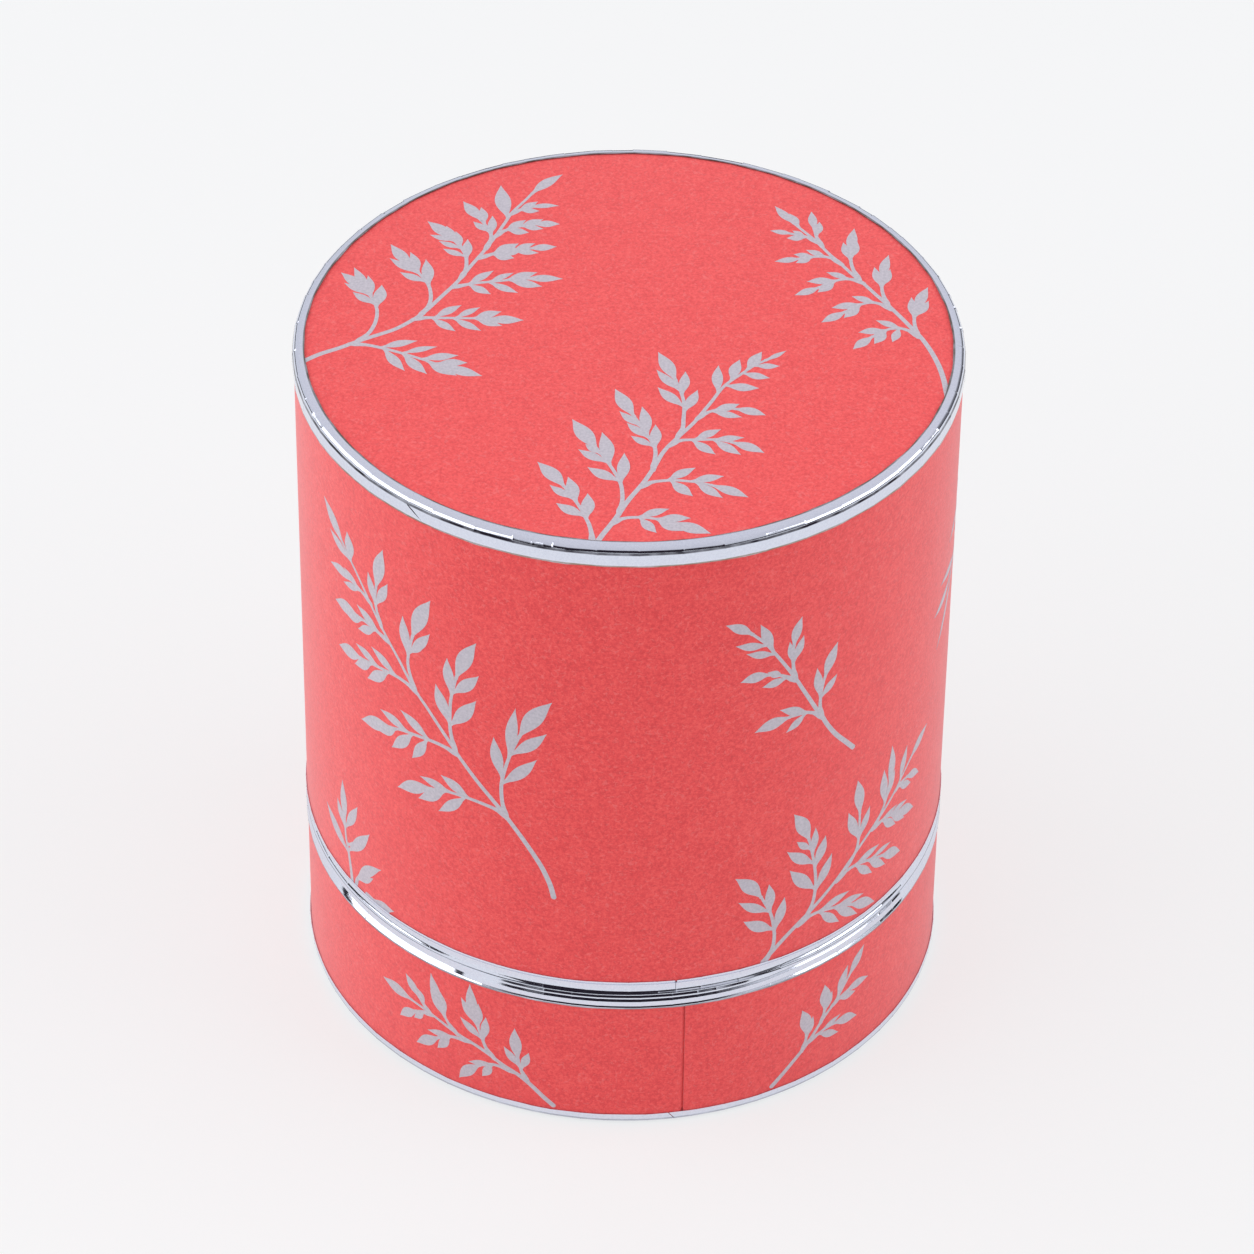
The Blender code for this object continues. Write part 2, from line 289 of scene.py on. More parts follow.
# The board is 2 mm greyboard with 0.7 mm flecks, the linings are fine matt paper, the card is smoother still.
greyboard = plain_sheet("greyboard_wound", "#8F8A82", "#B0AAA0", 0.7, 0.9, 0.06)
lining_paper = plain_sheet("lining_paper_matt", "#E9E6E0", "#F4F1EC", 0.4, 0.82, 0.03)
white_card = plain_sheet("white_card_smooth", "#EDEAE4", "#F5F2ED", 0.6, 0.6, 0.02)
coral = coral_paper()
silver = silver_ink()
foam_finish = cut_foam()
top_edge_foil_finish = mirror_foil(
    "mirror_foil_top_edge",
    (
        ("distance", 48.4, 0.25, "#5E4E3C", 0.9),
        # Painted shade and a painted reflection of the dark room, along the crease of the fold.
        ("height", 112.42, 0.26, "#211C28", 1.0),
        ("height", 110.2, 0.22, "#8E765A", 0.9),
    ),
)
# The navy line on the rim's lower fold is painted shade and a painted dark reflection of the gap between lid
# and base.
lid_rim_foil_finish = mirror_foil("mirror_foil_lid_rim", (("height", 26.85, 0.2, "#26324E", 0.6),))
# The dark line at the lower cut edge is partly the edge's own colour and partly painted shadow of the gap
# under it.
base_rim_foil_finish = mirror_foil("mirror_foil_base_rim", (("height", 23.9, 0.25, "#4A4640", 0.7),))
# The grey line on the lower fold is painted shade where the foil turns under towards the floor.
bottom_foil_finish = mirror_foil("mirror_foil_bottom_edge", (("height", 0.4, 0.3, "#6E6A78", 0.5),))
neck_foil_finish = mirror_foil("mirror_foil_neck", (("height", 46.4, 0.25, "#6A6578", 0.5),))


# ---- Rolled, turned and folded pieces ----


def turned_point(radius, angle, height):
    """The place at a distance from the axis, an angle in radians and a height."""
    return (radius * math.sin(angle) * MM, -radius * math.cos(angle) * MM, height * MM)


def wander(angle, reach, *waves):
    """A small swing that closes on itself once round. Each wave is a count and a start."""
    return reach * sum(math.sin(count * angle + start) for count, start in waves) / len(waves)


def smooth_step(value):
    """0 up to 0, 1 from 1, and an even passage between."""
    value = max(0.0, min(1.0, value))
    return value * value * (3.0 - 2.0 * value)


def finished(name, shape, body, finish, nodes):
    """Turns the built shape into a piece that has its finish and rides on its body."""
    bmesh.ops.remove_doubles(shape, verts=shape.verts, dist=merge_distance * MM)
    bmesh.ops.recalc_face_normals(shape, faces=shape.faces)
    mesh = bpy.data.meshes.new(name)
    shape.to_mesh(mesh)
    shape.free()
    mesh.shade_smooth()
    mesh.set_sharp_from_angle(angle=math.radians(crease_angle))
    mesh.materials.append(finish)
    piece = bpy.data.objects.new(name, mesh)
    bpy.context.scene.collection.objects.link(piece)
    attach(piece, body)
    if nodes:
        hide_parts(*nodes)


def swept(name, outlines, closed, body, slot, finish, *nodes):
    """Walls between outlines round the axis. Each is an angle in radians and a loop of (radius, height).

    Where a point has a third number, it lies that much further round.
    """
    shape = bmesh.new()
    rows = [
        [shape.verts.new(turned_point(radius, angle + sum(lean), height)) for radius, height, *lean in loop]
        for angle, loop in outlines
    ]
    for row, after in zip(rows, rows[1:] + rows[:1] if closed else rows[1:]):
        for i in range(len(row)):
            shape.faces.new((row[i - 1], row[i], after[i], after[i - 1]))
    if not closed:
        shape.faces.new(rows[0])
        shape.faces.new(reversed(rows[-1]))
    finished(name, shape, body, finish, nodes)


def turned(name, loop, body, slot, finish, *nodes):
    """A piece of one outline that goes once round without a joint."""
    outlines = [(2.0 * math.pi * step / steps_round, loop) for step in range(steps_round)]
    swept(name, outlines, True, body, slot, finish, *nodes)


def jointed(name, loop, seam, gap, body, slot, finish, *nodes):
    """A sheet of one outline bent once round, so that its two ends nearly meet at the seam."""
    start = math.radians(seam) + gap / 2 / paper_radius
    sweep = 2.0 * math.pi - gap / paper_radius
    outlines = [(start + sweep * step / steps_round, loop) for step in range(steps_round + 1)]
    swept(name, outlines, False, body, slot, finish, *nodes)


def disc_loop(radius, bottom, top, edge):
    """The outline of a die-cut disc whose cut edge is eased a little."""
    lower = [(0.0, bottom), (radius - edge, bottom), (radius, bottom + edge)]
    return lower + [(radius, top - edge), (radius - edge, top), (0.0, top)]


def between(a, b, share):
    """The point at a share of the way from a to b."""
    return (a[0] + (b[0] - a[0]) * share, a[1] + (b[1] - a[1]) * share)


def arc(centre, radius, start, stop, steps):
    """Points on an arc from start to stop, where 0 degrees is outwards and 90 is up."""
    points = []
    for step in range(steps + 1):
        turn = math.radians(start + (stop - start) * step / steps)
        points.append((centre[0] + radius * math.cos(turn), centre[1] + radius * math.sin(turn)))
    return points


def thick_path(path, thickness):
    """A sheet's outline: the path of its outer face, then its inner face, on the right of it, backwards."""
    inner = []
    for i, (radius, height) in enumerate(path):
        before = path[max(i - 1, 0)]
        after = path[min(i + 1, len(path) - 1)]
        run = math.dist(before, after)
        across = (after[1] - before[1]) / run * thickness
        down = (after[0] - before[0]) / run * thickness
        inner.append((radius + across, height - down))
    return path + inner[::-1]


# Rolled side papers. The seam shows as a dip down to the sheet below, beside a low ridge in the top sheet,
# and the ridge fades out under the foil.
wrap_levels = 24
lap_width = 8.0
lap_drop = 0.3
lap_run = 0.7
ridge_place = 0.45
ridge_width = 0.8
ridge_height = 0.07
ridge_fade = 3.0


def rolled_paper(name, seam, bottom, top, body, finish, node):
    """Paper rolled once round a tube. Its end dips beside the seam and runs on under the first edge."""
    round_trip = 2.0 * math.pi * paper_radius
    # Steps of 0.1 mm for 2 mm on both sides of the seam, wider ones round the rest and under the first edge.
    fine = [0.1 * step for step in range(20)]
    travels = fine + [2.0 + (round_trip - 4.0) * step / steps_round for step in range(steps_round + 1)]
    travels += [round_trip - 2.0 + 0.1 * step for step in range(1, 24)]
    travels += [round_trip + 0.3 + (lap_width - 0.3) * step / 8 for step in range(1, 9)]
    outlines = []
    for travel in travels:
        drop = lap_drop * smooth_step((travel - round_trip + lap_run) / lap_run)
        ridge = ridge_height * (1.0 - smooth_step(abs(travel - ridge_place) / ridge_width))
        outer = []
        for level in range(wrap_levels + 1):
            height = bottom + (top - bottom) * level / wrap_levels
            hold = smooth_step((height - bottom - ridge_fade / 2) / ridge_fade)
            hold *= smooth_step((top - ridge_fade / 2 - height) / ridge_fade)
            outer.append((paper_radius - drop + ridge * hold, height))
        inner = [(radius - paper_thickness, height) for radius, height in outer]
        outlines.append((math.radians(seam) + travel / paper_radius, outer + inner[::-1]))
    swept(name, outlines, False, body, "coral_paper", finish, node)


rolled_paper("lid_side_paper", lid_side_seam, 29.0, 112.2, "lid", coral, "lid_side_wrap")
rolled_paper("base_side_paper", base_side_seam, 0.8, 24.3, "base", coral, "base_side_wrap")

# Die-cut discs: radius, underside and upper side
eased_edge = 0.03
for name, radius, bottom, top, body, slot, finish, node in (
    ("lid_top_disc_paper", 48.95, 113.05, top_paper_height, "lid", "coral_paper", coral, "lid_top_paper"),
    ("base_bottom_disc_paper", 49.45, 0.25, 0.45, "base", "coral_paper", coral, "base_bottom_paper"),
    ("lid_top_lining", 47.3, 110.65, 110.85, "lid", "lining_paper", lining_paper, "lid_lining_disc"),
    ("base_floor_paper", 44.6, base_floor, 2.85, "base", "lining_paper", lining_paper, "base_floor_lining"),
):
    turned(name, disc_loop(radius, bottom, top, eased_edge), body, slot, finish, node)

# Linings: outer and inner radius, lower and upper end
lining_gap = 0.25
for name, outer, inner, bottom, top, seam, body, node in (
    ("lid_side_lining", 47.3, 47.1, 27.0, 110.55, lining_seam, "lid", "lid_lining_wrap"),
    ("neck_inside_lining", 44.9, neck_inside, base_floor, 38.5, neck_seam, "base", "neck_lining"),
):
    loop = [(outer, bottom), (outer, top), (inner, top), (inner, bottom)]
    jointed(name, loop, seam, lining_gap, body, "lining_paper", lining_paper, node)

# Folded foil strips. A kink is a low ridge across the strip, and from one to the next the fold is nearly
# flat.
kink_spacing = (3.0, 8.0)
clear_of_seam = 1.0
kink_columns = (0.0, 0.14, 0.35)
ridge_shares = (1.0, 0.25, 0.0)
kink_ridge = 0.035
columns_between_kinks = 4
flat_between_kinks = 0.05
most_drop = 0.16
end_reach = 6.0
fold_steps = 8
top_fold = 0.9
lid_rim_fold = 0.18
lid_rim_waist = 0.45
rim_corner = 0.3
rim_depth = 0.62
# How far in and how high the bevels of the base's rim end: at the front, left, right and back.
rim_bevels = [
    [(0.42, 25.76), (0.62, 25.75), (0.6, 25.92), (0.5, 25.75)],
    [(0.39, 25.6), (0.62, 25.55), (0.58, 25.85), (0.44, 25.55)],
    [(0.16, 25.14), (0.61, 24.92), (0.34, 25.52), (0.33, 25.15)],
    [(0.15, 24.8), (0.42, 24.67), (0.33, 24.95), (0.22, 24.8)],
    [(0.14, 24.42), (0.21, 24.39), (0.3, 24.53), (0.13, 24.5)],
    [(0.0, 24.13), (0.01, 24.12), (0.02, 24.13), (0.02, 24.13)],
]
bottom_fold = 0.55


def kinks_round(known, draw):
    """The kinks of a strip, in degrees: the known ones, then every few degrees until they meet again."""
    places = list(known)
    while places[-1] < known[0] + 360.0 - kink_spacing[1]:
        places.append(places[-1] + draw.uniform(*kink_spacing))
    return places


def folded_strip(name, seam, ends_at, known, jump, path_at, body, finish, node, seed):
    """A foil strip folded over an edge, whose fold jumps a little at each kink and whose ends nearly meet.

    ends_at gives how far round the ends lean at a height, and half the gap between them. known are the
    kinks with a place of their own, and jump is the share of the most that the fold may jump.
    """
    draw = random.Random(seed)
    kinks = sorted((place - seam) % 360.0 for place in kinks_round(known, draw))
    kinks = [0.0, *[place for place in kinks if clear_of_seam < place < 360.0 - clear_of_seam], 360.0]
    outlines = []
    for start, stop in zip(kinks, kinks[1:]):
        flat = min(flat_between_kinks, foil_radius * (1.0 - math.cos(math.radians(stop - start) / 2)))
        flat *= jump * draw.uniform(0.5, 1.0)
        drops = (jump * draw.uniform(0.0, most_drop), jump * draw.uniform(0.0, most_drop))
        columns = [(start + away, ridge) for away, ridge in zip(kink_columns, ridge_shares)]
        for step in range(1, columns_between_kinks):
            columns.append((start + (stop - start) * step / columns_between_kinks, 0.0))
        columns += [(stop - away, ridge) for away, ridge in zip(kink_columns[:0:-1], ridge_shares[:0:-1])]
        if stop == 360.0:
            columns.append((360.0, 0.0))
        for turn, ridge in sorted(columns):
            share = (turn - start) / (stop - start)
            pull = flat * 4.0 * share * (1.0 - share) + kink_ridge * (1.0 - ridge)
            drop = drops[0] + (drops[1] - drops[0]) * share
            angle = math.radians(seam + turn)
            loop = []
            for radius, height in thick_path(path_at(angle, foil_radius - pull, drop), foil_thickness):
                lean, half_gap = ends_at(height)
                lean *= max(0.0, 1.0 - min(turn, 360.0 - turn) / end_reach)
                gap = math.degrees(half_gap / foil_radius) * (1.0 - 2.0 * turn / 360.0)
                loop.append((radius, height, math.radians(lean + gap)))
            outlines.append((angle, loop))
    swept(name, outlines, False, body, "mirror_foil", finish, node)


def at_front(angle):
    """1 up to 16 degrees from the front of the box, and 0 from 35 degrees."""
    return smooth_step((math.cos(angle) - 0.82) / 0.14)


def at_back(angle):
    """0 up to 58 degrees from the front of the box, and 1 from 66 degrees."""
    return smooth_step((0.53 - math.cos(angle)) / 0.12)


def top_edge_path(angle, side, drop):
    """From the cut edge on the lid's top outwards, round the corner, down a steep facet, past a crease."""
    inner = 48.33 + wander(angle, 0.14, (1, 1.6), (7, 0.4), (41, 5.0))
    bottom = 110.1 + wander(angle, 0.1, (9, 1.0), (23, 3.0), (47, 0.5))
    path = [(inner, box_height - 0.04), (inner + 0.1, box_height)]
    path += arc((side - 1.0, box_height - 0.14 - drop - top_fold), top_fold, 80.0, 27.0, fold_steps)
    edge, height = path[-1]
    path += [(edge + 0.13, height - 0.31), (edge + 0.14, height - 0.42), (side - 0.01, height - 0.56)]
    return path + [(side, height - 0.8), (side - 0.01, 111.4), (side, bottom + 0.4), (side - 0.02, bottom)]


def lid_rim_path(angle, side, drop):
    """From the cut edge on the lid's side in to a waist, out again to the rim, and tightly under it."""
    top = 29.35 + wander(angle, 0.06, (8, 0.2), (19, 1.5), (37, 4.0))
    waist = lid_rim_waist * (1.0 + wander(angle, 0.25, (3, 0.4), (7, 2.0), (12, 4.4)))
    waist *= 1.0 - 0.25 * at_front(angle)
    low = 27.62 + wander(angle, 0.12, (2, 1.0), (5, 3.0)) - drop / 2 + 0.25 * (1.0 - math.cos(2.0 * angle))
    low -= 0.13 * at_front(angle)
    path = [(side - 0.03, top), (side, top - 0.2), (side - 0.03, 29.05), (side - 0.6 * waist, 28.75)]
    path += [(side - 0.9 * waist, 28.5), (side - waist, low + 0.15), (side - 0.92 * waist, low - 0.08)]
    path += [(side - 0.7 * waist, low - 0.28), (side - 0.38 * waist, max(low - 0.48, 27.06))]
    path += [(side - 0.1, max(low - 0.58, 27.02)), (side - 0.03, 26.9)]
    path += arc((side - lid_rim_fold, lid_rim_height + lid_rim_fold), lid_rim_fold, -20.0, -90.0, 4)
    return path + [(48.6, lid_rim_height), (47.4, lid_rim_height)]


def base_rim_path(angle, side, drop):
    """From inside the rim over its corner, then down bevels that differ round the box to the cut edge."""
    bottom = 23.83 + wander(angle, 0.08, (6, 2.2), (17, 0.7), (43, 3.1))
    front = at_front(angle)
    back = at_back(angle)
    right = (1.0 - front - back) * smooth_step(0.5 + 2.0 * math.sin(angle))
    shares = (front, 1.0 - front - back - right, right, back)
    path = [(47.1, base_rim_height), (48.9, base_rim_height)]
    path += arc((side - rim_depth - rim_corner, base_rim_height - rim_corner), rim_corner, 90.0, 0.0, 4)
    for place, ends in enumerate(rim_bevels):
        away, height = (sum(share * end[k] for share, end in zip(shares, ends)) for k in (0, 1))
        swing = wander(angle, 0.06, (3, 2.5 + 0.4 * place), (7, 0.9 + 0.3 * place), (13, 4.0)) - drop / 3
        corner = (side - away, height + swing)
        path += [between(path[-1], corner, 0.15), between(path[-1], corner, 0.85), corner]
    return path + [(side, bottom + 0.12), (side - 0.02, bottom)]


def bottom_edge_path(angle, side, drop):
    """From the cut edge on the base's side down, over the corner and under the box, without a jump."""
    top = 1.55 + wander(angle, 0.08, (7, 0.9), (20, 2.7), (39, 1.2))
    path = [(side - 0.02, top), (side, top - 0.2)]
    path += arc((side - bottom_fold, bottom_fold), bottom_fold, 0.0, -90.0, fold_steps)
    return path + [(48.4, 0.0), (46.55 + wander(angle, 0.1, (8, 0.3), (21, 1.1)), 0.0)]


def top_strip_ends(height):
    """This strip was cut askew, and gapes in the middle of the side."""
    lean = 1.67 * max(0.0, min(112.24 - height, 2.0))
    return lean, 0.02 + 0.2 * smooth_step((112.4 - height) / 0.3) * smooth_step((height - 110.8) / 0.3)


def lid_rim_strip_ends(height):
    """The ends nearly touch, but for a small notch at the top."""
    return 0.0, 0.03 + 0.1 * smooth_step((height - 28.7) / 0.3)


def base_rim_strip_ends(height):
    """These ends were cut square."""
    return 0.0, 0.05


def bottom_strip_ends(height):
    """This strip was cut askew too."""
    return 0.9 * (1.5 - height), 0.08


top_kinks = (-63.7, -48.0, -39.6, -33.9, -25.9, -19.0, -15.6, -13.7, -12.1, -9.9, -4.8, 2.0, 9.3, 16.3)
top_kinks += (23.5, 31.0, 38.3, 45.3, 52.0, 59.0, 65.5)
lid_rim_kinks = (-66.0, -58.0, -45.0, -36.0, -30.5, -22.0, -13.5, -6.0, 1.5, 6.5, 14.0, 21.0, 29.0, 37.0)
lid_rim_kinks += (48.0,)
base_rim_kinks = (-65.0, -52.0, -36.5, -25.0, -13.5, -8.5, -4.0, 3.5, 9.0, 13.5, 17.0, 27.0, 41.5, 53.0)
bottom_kinks = (bottom_strip_seam,)

folded_strip(
    "lid_top_edge_strip", top_strip_seam, top_strip_ends, top_kinks, 1.0,
    top_edge_path, "lid", top_edge_foil_finish, "lid_top_edge_foil", 11,
)
folded_strip(
    "lid_rim_strip", lid_rim_strip_seam, lid_rim_strip_ends, lid_rim_kinks, 0.35,
    lid_rim_path, "lid", lid_rim_foil_finish, "lid_rim_foil", 12,
)
folded_strip(
    "base_rim_strip", base_rim_strip_seam, base_rim_strip_ends, base_rim_kinks, 0.35,
    base_rim_path, "base", base_rim_foil_finish, "base_rim_foil", 13,
)
folded_strip(
    "base_bottom_strip", bottom_strip_seam, bottom_strip_ends, bottom_kinks, 0.5,
    bottom_edge_path, "base", bottom_foil_finish, "base_bottom_edge_foil", 14,
)

# The neck's foil goes from inside over the rim and down to the bottom board.
neck_fold = 0.5
neck_gap = 0.3
neck_path = [(neck_inside, 38.6), (neck_inside, 42.0)]
neck_path += arc((neck_inside + neck_fold, neck_height - neck_fold), neck_fold, 180.0, 90.0, fold_steps)
neck_path += arc((neck_outside - neck_fold, neck_height - neck_fold), neck_fold, 90.0, 0.0, fold_steps)
neck_path += [(neck_outside, 30.0), (neck_outside, base_floor)]
jointed(
    "neck_foil_sheet", thick_path(neck_path, foil_thickness), neck_seam, neck_gap,
    "base", "silver_paper", neck_foil_finish, "neck_foil_wrap",
)

# The foam block with its round recess, and the card ring on it
foam_loop = [(0.0, 3.15)]
foam_loop += arc((43.6, 3.95), 0.8, -90.0, 0.0, 5)
foam_loop += arc((44.1, 43.9), 0.3, 0.0, 90.0, 4)
foam_loop += arc((30.4, 43.8), 0.4, 90.0, 180.0, 4)
foam_loop += arc((29.5, 13.65), 0.5, 0.0, -90.0, 4)
foam_loop += [(0.0, 13.15)]
turned("foam_block", foam_loop, "insert", "foam", foam_finish, "insert_foam_block")
card_loop = arc((44.25, 44.45), 0.15, -90.0, 0.0, 3) + arc((44.25, 44.95), 0.15, 0.0, 90.0, 3)
card_loop += arc((30.55, 44.95), 0.15, 90.0, 180.0, 3) + arc((30.55, 44.45), 0.15, 180.0, 270.0, 3)
turned("card_ring", card_loop, "insert", "white_card", white_card, "insert_top_card")

# The boards are hidden by paper, foil and linings, and keep their modelled shapes.
for board in ("lid_tube", "lid_top_board", "base_tube", "base_bottom_board", "neck_tube"):
    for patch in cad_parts[board].material_slots:
        patch.material = greyboard


# ---- Printed sprigs ----

# Each sprig is its shoots, the stem first. A shoot is its path, its end leaf (tip x, tip y, width), and
# its other leaves (share of the path, tip x, tip y, width). On a side, x goes round to the right from the
# front and y up from the table; on the lid's top, x goes to the right and y to the back from the middle.
top_left_sprig = [
    ([(-48.4, -6.5), (-46, -4.6), (-43, -2.9), (-41, -1.6), (-39, -0.4), (-37, 0.7), (-35, 1.9),
      (-33.3, 3.4), (-31.6, 5.2), (-30.3, 7), (-28.2, 10.5), (-26, 14.2), (-24, 18.5), (-22.2, 22.2),
      (-20.6, 26), (-19, 30.2), (-18.2, 32.3), (-16.3, 35.5), (-15.3, 37.3)],
     (-10.6, 42.6, 1.9),
     [(0.87, -20.1, 39.5, 2.5)]),
    ([(-40.7, -1.5), (-39, 0.6), (-38.1, 3), (-37.8, 5.5), (-38, 7.5), (-38.8, 9.8), (-39.8, 11.5)],
     (-43.7, 16.1, 1.9),
     [(0.69, -37.4, 13.1, 2), (0.74, -41.7, 11.2, 1.5), (0.88, -39.6, 15.5, 1.4), (0.97, -41.8, 17.5, 1.6),
      (0.93, -43.1, 13.5, 1.1)]),
    ([(-31.5, 5.2), (-30.3, 7.5), (-29.9, 9.5), (-30, 11.5), (-30.4, 13.3), (-31.5, 15.5), (-33, 17.8)],
     (-36.5, 23.6, 2),
     [(0.6, -31, 19.8, 1.9), (0.68, -34.8, 16.4, 1.5), (0.86, -36.5, 20, 1.5), (0.87, -33.4, 21.6, 1.6)]),
    ([(-25.6, 15), (-24.9, 17), (-24.8, 19), (-25, 21), (-25.8, 23), (-27, 25)],
     (-31.1, 29.7, 2.1),
     [(0.48, -24.8, 25.2, 1.6), (0.55, -28.5, 22.6, 1.3), (0.76, -29.2, 24.6, 1.2), (0.78, -26.7, 27.2, 1.3),
      (0.93, -28.2, 28.6, 1.3), (0.97, -30.6, 26.2, 1.2)]),
    ([(-22, 22.6), (-21.3, 25), (-21.3, 26.5), (-22, 28.5), (-22.8, 30)],
     (-25.8, 35.1, 2),
     [(0.52, -21.2, 31.4, 1.4), (0.6, -24.1, 29.8, 1.3), (0.9, -23, 33.6, 1.5)]),
    ([(-41.6, -1.9), (-39, -2.1), (-36.5, -2.9), (-34.5, -3.7), (-32.3, -4.7), (-30, -5.8), (-27.8, -6.9)],
     (-21.6, -9.4, 2.1),
     [(0.32, -31.5, -0.9, 1.6), (0.56, -28.5, -2.3, 1.3), (0.78, -25.3, -4.4, 1.8), (0.36, -33.1, -8.4, 1.7),
      (0.57, -29.8, -9.1, 1.8), (0.84, -25.4, -9.4, 2.1), (0.94, -23.9, -6.2, 1.8)]),
    ([(-32.4, 4.4), (-30.5, 4.9), (-28.5, 4.9), (-26, 4.9), (-23.5, 4.9), (-21.5, 4.8)],
     (-15.8, 4.6, 2.1),
     [(0.3, -25.2, 8.2, 1.6), (0.59, -22.4, 7.7, 1.3), (0.84, -19.2, 6.7, 1.8), (0.27, -25.9, 1.6, 1.5),
      (0.56, -22.1, 1.8, 1.5), (0.86, -19, 3.1, 1.6)]),
    ([(-26.8, 12.6), (-25, 13.3), (-23, 13.9), (-20.5, 14.3), (-18, 14.8), (-16, 15.1)],
     (-10.1, 15.2, 1.8),
     [(0.24, -20.6, 17.1, 1.5), (0.53, -17.6, 16.6, 1.2), (0.76, -14, 16.8, 1.8), (0.24, -20.9, 11.1, 1.6),
      (0.52, -16.8, 11.5, 1.5), (0.8, -13.2, 13.2, 1.9)]),
    ([(-22.9, 20.2), (-21.3, 21.2), (-19.5, 22), (-17.5, 22.5), (-15.5, 22.9)],
     (-11.2, 23.5, 1.7),
     [(0.29, -17, 24.2, 2), (0.71, -14.5, 24.3, 1.3), (0.29, -17.6, 20.4, 2), (0.7, -13.9, 21.8, 1.4),
      (0.41, -16.4, 22.6, 2.2)]),
    ([(-20.7, 25.8), (-19.5, 27.3), (-18, 28.2), (-16.3, 28.9), (-15, 29.2)],
     (-10.8, 29.4, 1.7),
     [(0.37, -16, 30.4, 1.5), (0.73, -13.4, 30.6, 1.5), (0.4, -15.5, 27.1, 1.7), (0.76, -13.3, 28.1, 1.3)]),
    ([(-18.4, 31.8), (-17, 33), (-15.8, 33.6)],
     (-11, 34.2, 1.2),
     [(0.51, -14.3, 35.3, 1.4), (0.58, -14, 32.8, 1.3)]),
]

top_right_sprig = [
    ([(47, -13), (46.9, -12), (46.6, -9), (46.1, -6), (45.3, -3), (44.3, -0.2), (43.4, 1.8), (42.2, 3.9),
      (40.7, 6.5), (38.7, 9.8), (37.2, 12), (35.8, 14.2), (34.4, 16.2), (33, 18.3), (31.7, 20.4),
      (30.3, 22.4), (29, 24.6), (27.6, 26.8), (26.2, 28.7), (25.1, 30.2)],
     (22.1, 34.9, 1.5),
     [(0.98, 24.3, 33, 1.4)]),
    ([(43.1, 1.6), (42.7, 4.5), (42.7, 6.5), (43, 8.3)],
     (45, 14.3, 1.8),
     [(0.71, 42.4, 11.7, 1.5), (0.78, 45, 10.8, 1.6)]),
    ([(38.9, 9.2), (38.2, 12), (38, 14), (38.1, 16.2)],
     (39.3, 22.5, 1.6),
     [(0.72, 37, 19.3, 1.5), (0.75, 39.4, 18.8, 1.5)]),
    ([(34.7, 15.9), (33.8, 18.5), (33.5, 20.5), (33.5, 22.7)],
     (34.2, 29.3, 1.7),
     [(0.76, 32.4, 25.6, 1.5), (0.84, 34.6, 25.8, 1.4)]),
    ([(29.2, 24.4), (28.4, 26.8), (28.1, 28.7)],
     (27.7, 33.6, 1.4),
     [(0.66, 28.9, 30.9, 1.4)]),
    ([(43.3, 1.5), (41.8, 3.2), (40.3, 3.8), (39, 3.6), (37.5, 2.7), (36.4, 1.7)],
     (33.3, -1.6, 1.7),
     [(0.43, 36.9, 5.7, 1.4), (0.46, 39.2, 0.3, 1.4), (0.71, 34.2, 2.6, 1.6), (0.71, 36.5, -0.2, 1.7)]),
    ([(39.3, 8.4), (37.8, 9.8), (36.3, 10.2), (34.8, 9.7), (33.6, 8.8), (32.5, 7.9)],
     (28.7, 5, 1.7),
     [(0.37, 33.4, 11.7, 1.4), (0.63, 30.3, 8.7, 1.7), (0.67, 32.1, 6.2, 1.8)]),
    ([(35.3, 15), (34, 15.9), (32.5, 16.1), (31, 15.6), (29.8, 14.8), (28.7, 14)],
     (24.8, 11.8, 1.6),
     [(0.33, 29.7, 17.8, 1.3), (0.61, 26.7, 15.3, 1.7), (0.64, 28.3, 12.6, 1.8)]),
    ([(32.1, 19.8), (30.6, 21.4), (29.2, 21.8), (27.7, 21.7), (26, 21.3)],
     (21.9, 20.4, 1.4),
     [(0.46, 26.7, 23.5, 1.3), (0.73, 24.8, 22.3, 1.3), (0.76, 25.1, 20.1, 1.4)]),
    ([(28.5, 25.4), (27, 26.8), (25.8, 27.3), (24.8, 27.6)],
     (21.3, 28.4, 1.2),
     [(0.5, 23.8, 26.5, 1.5), (0.57, 24.7, 28.5, 1)]),
]

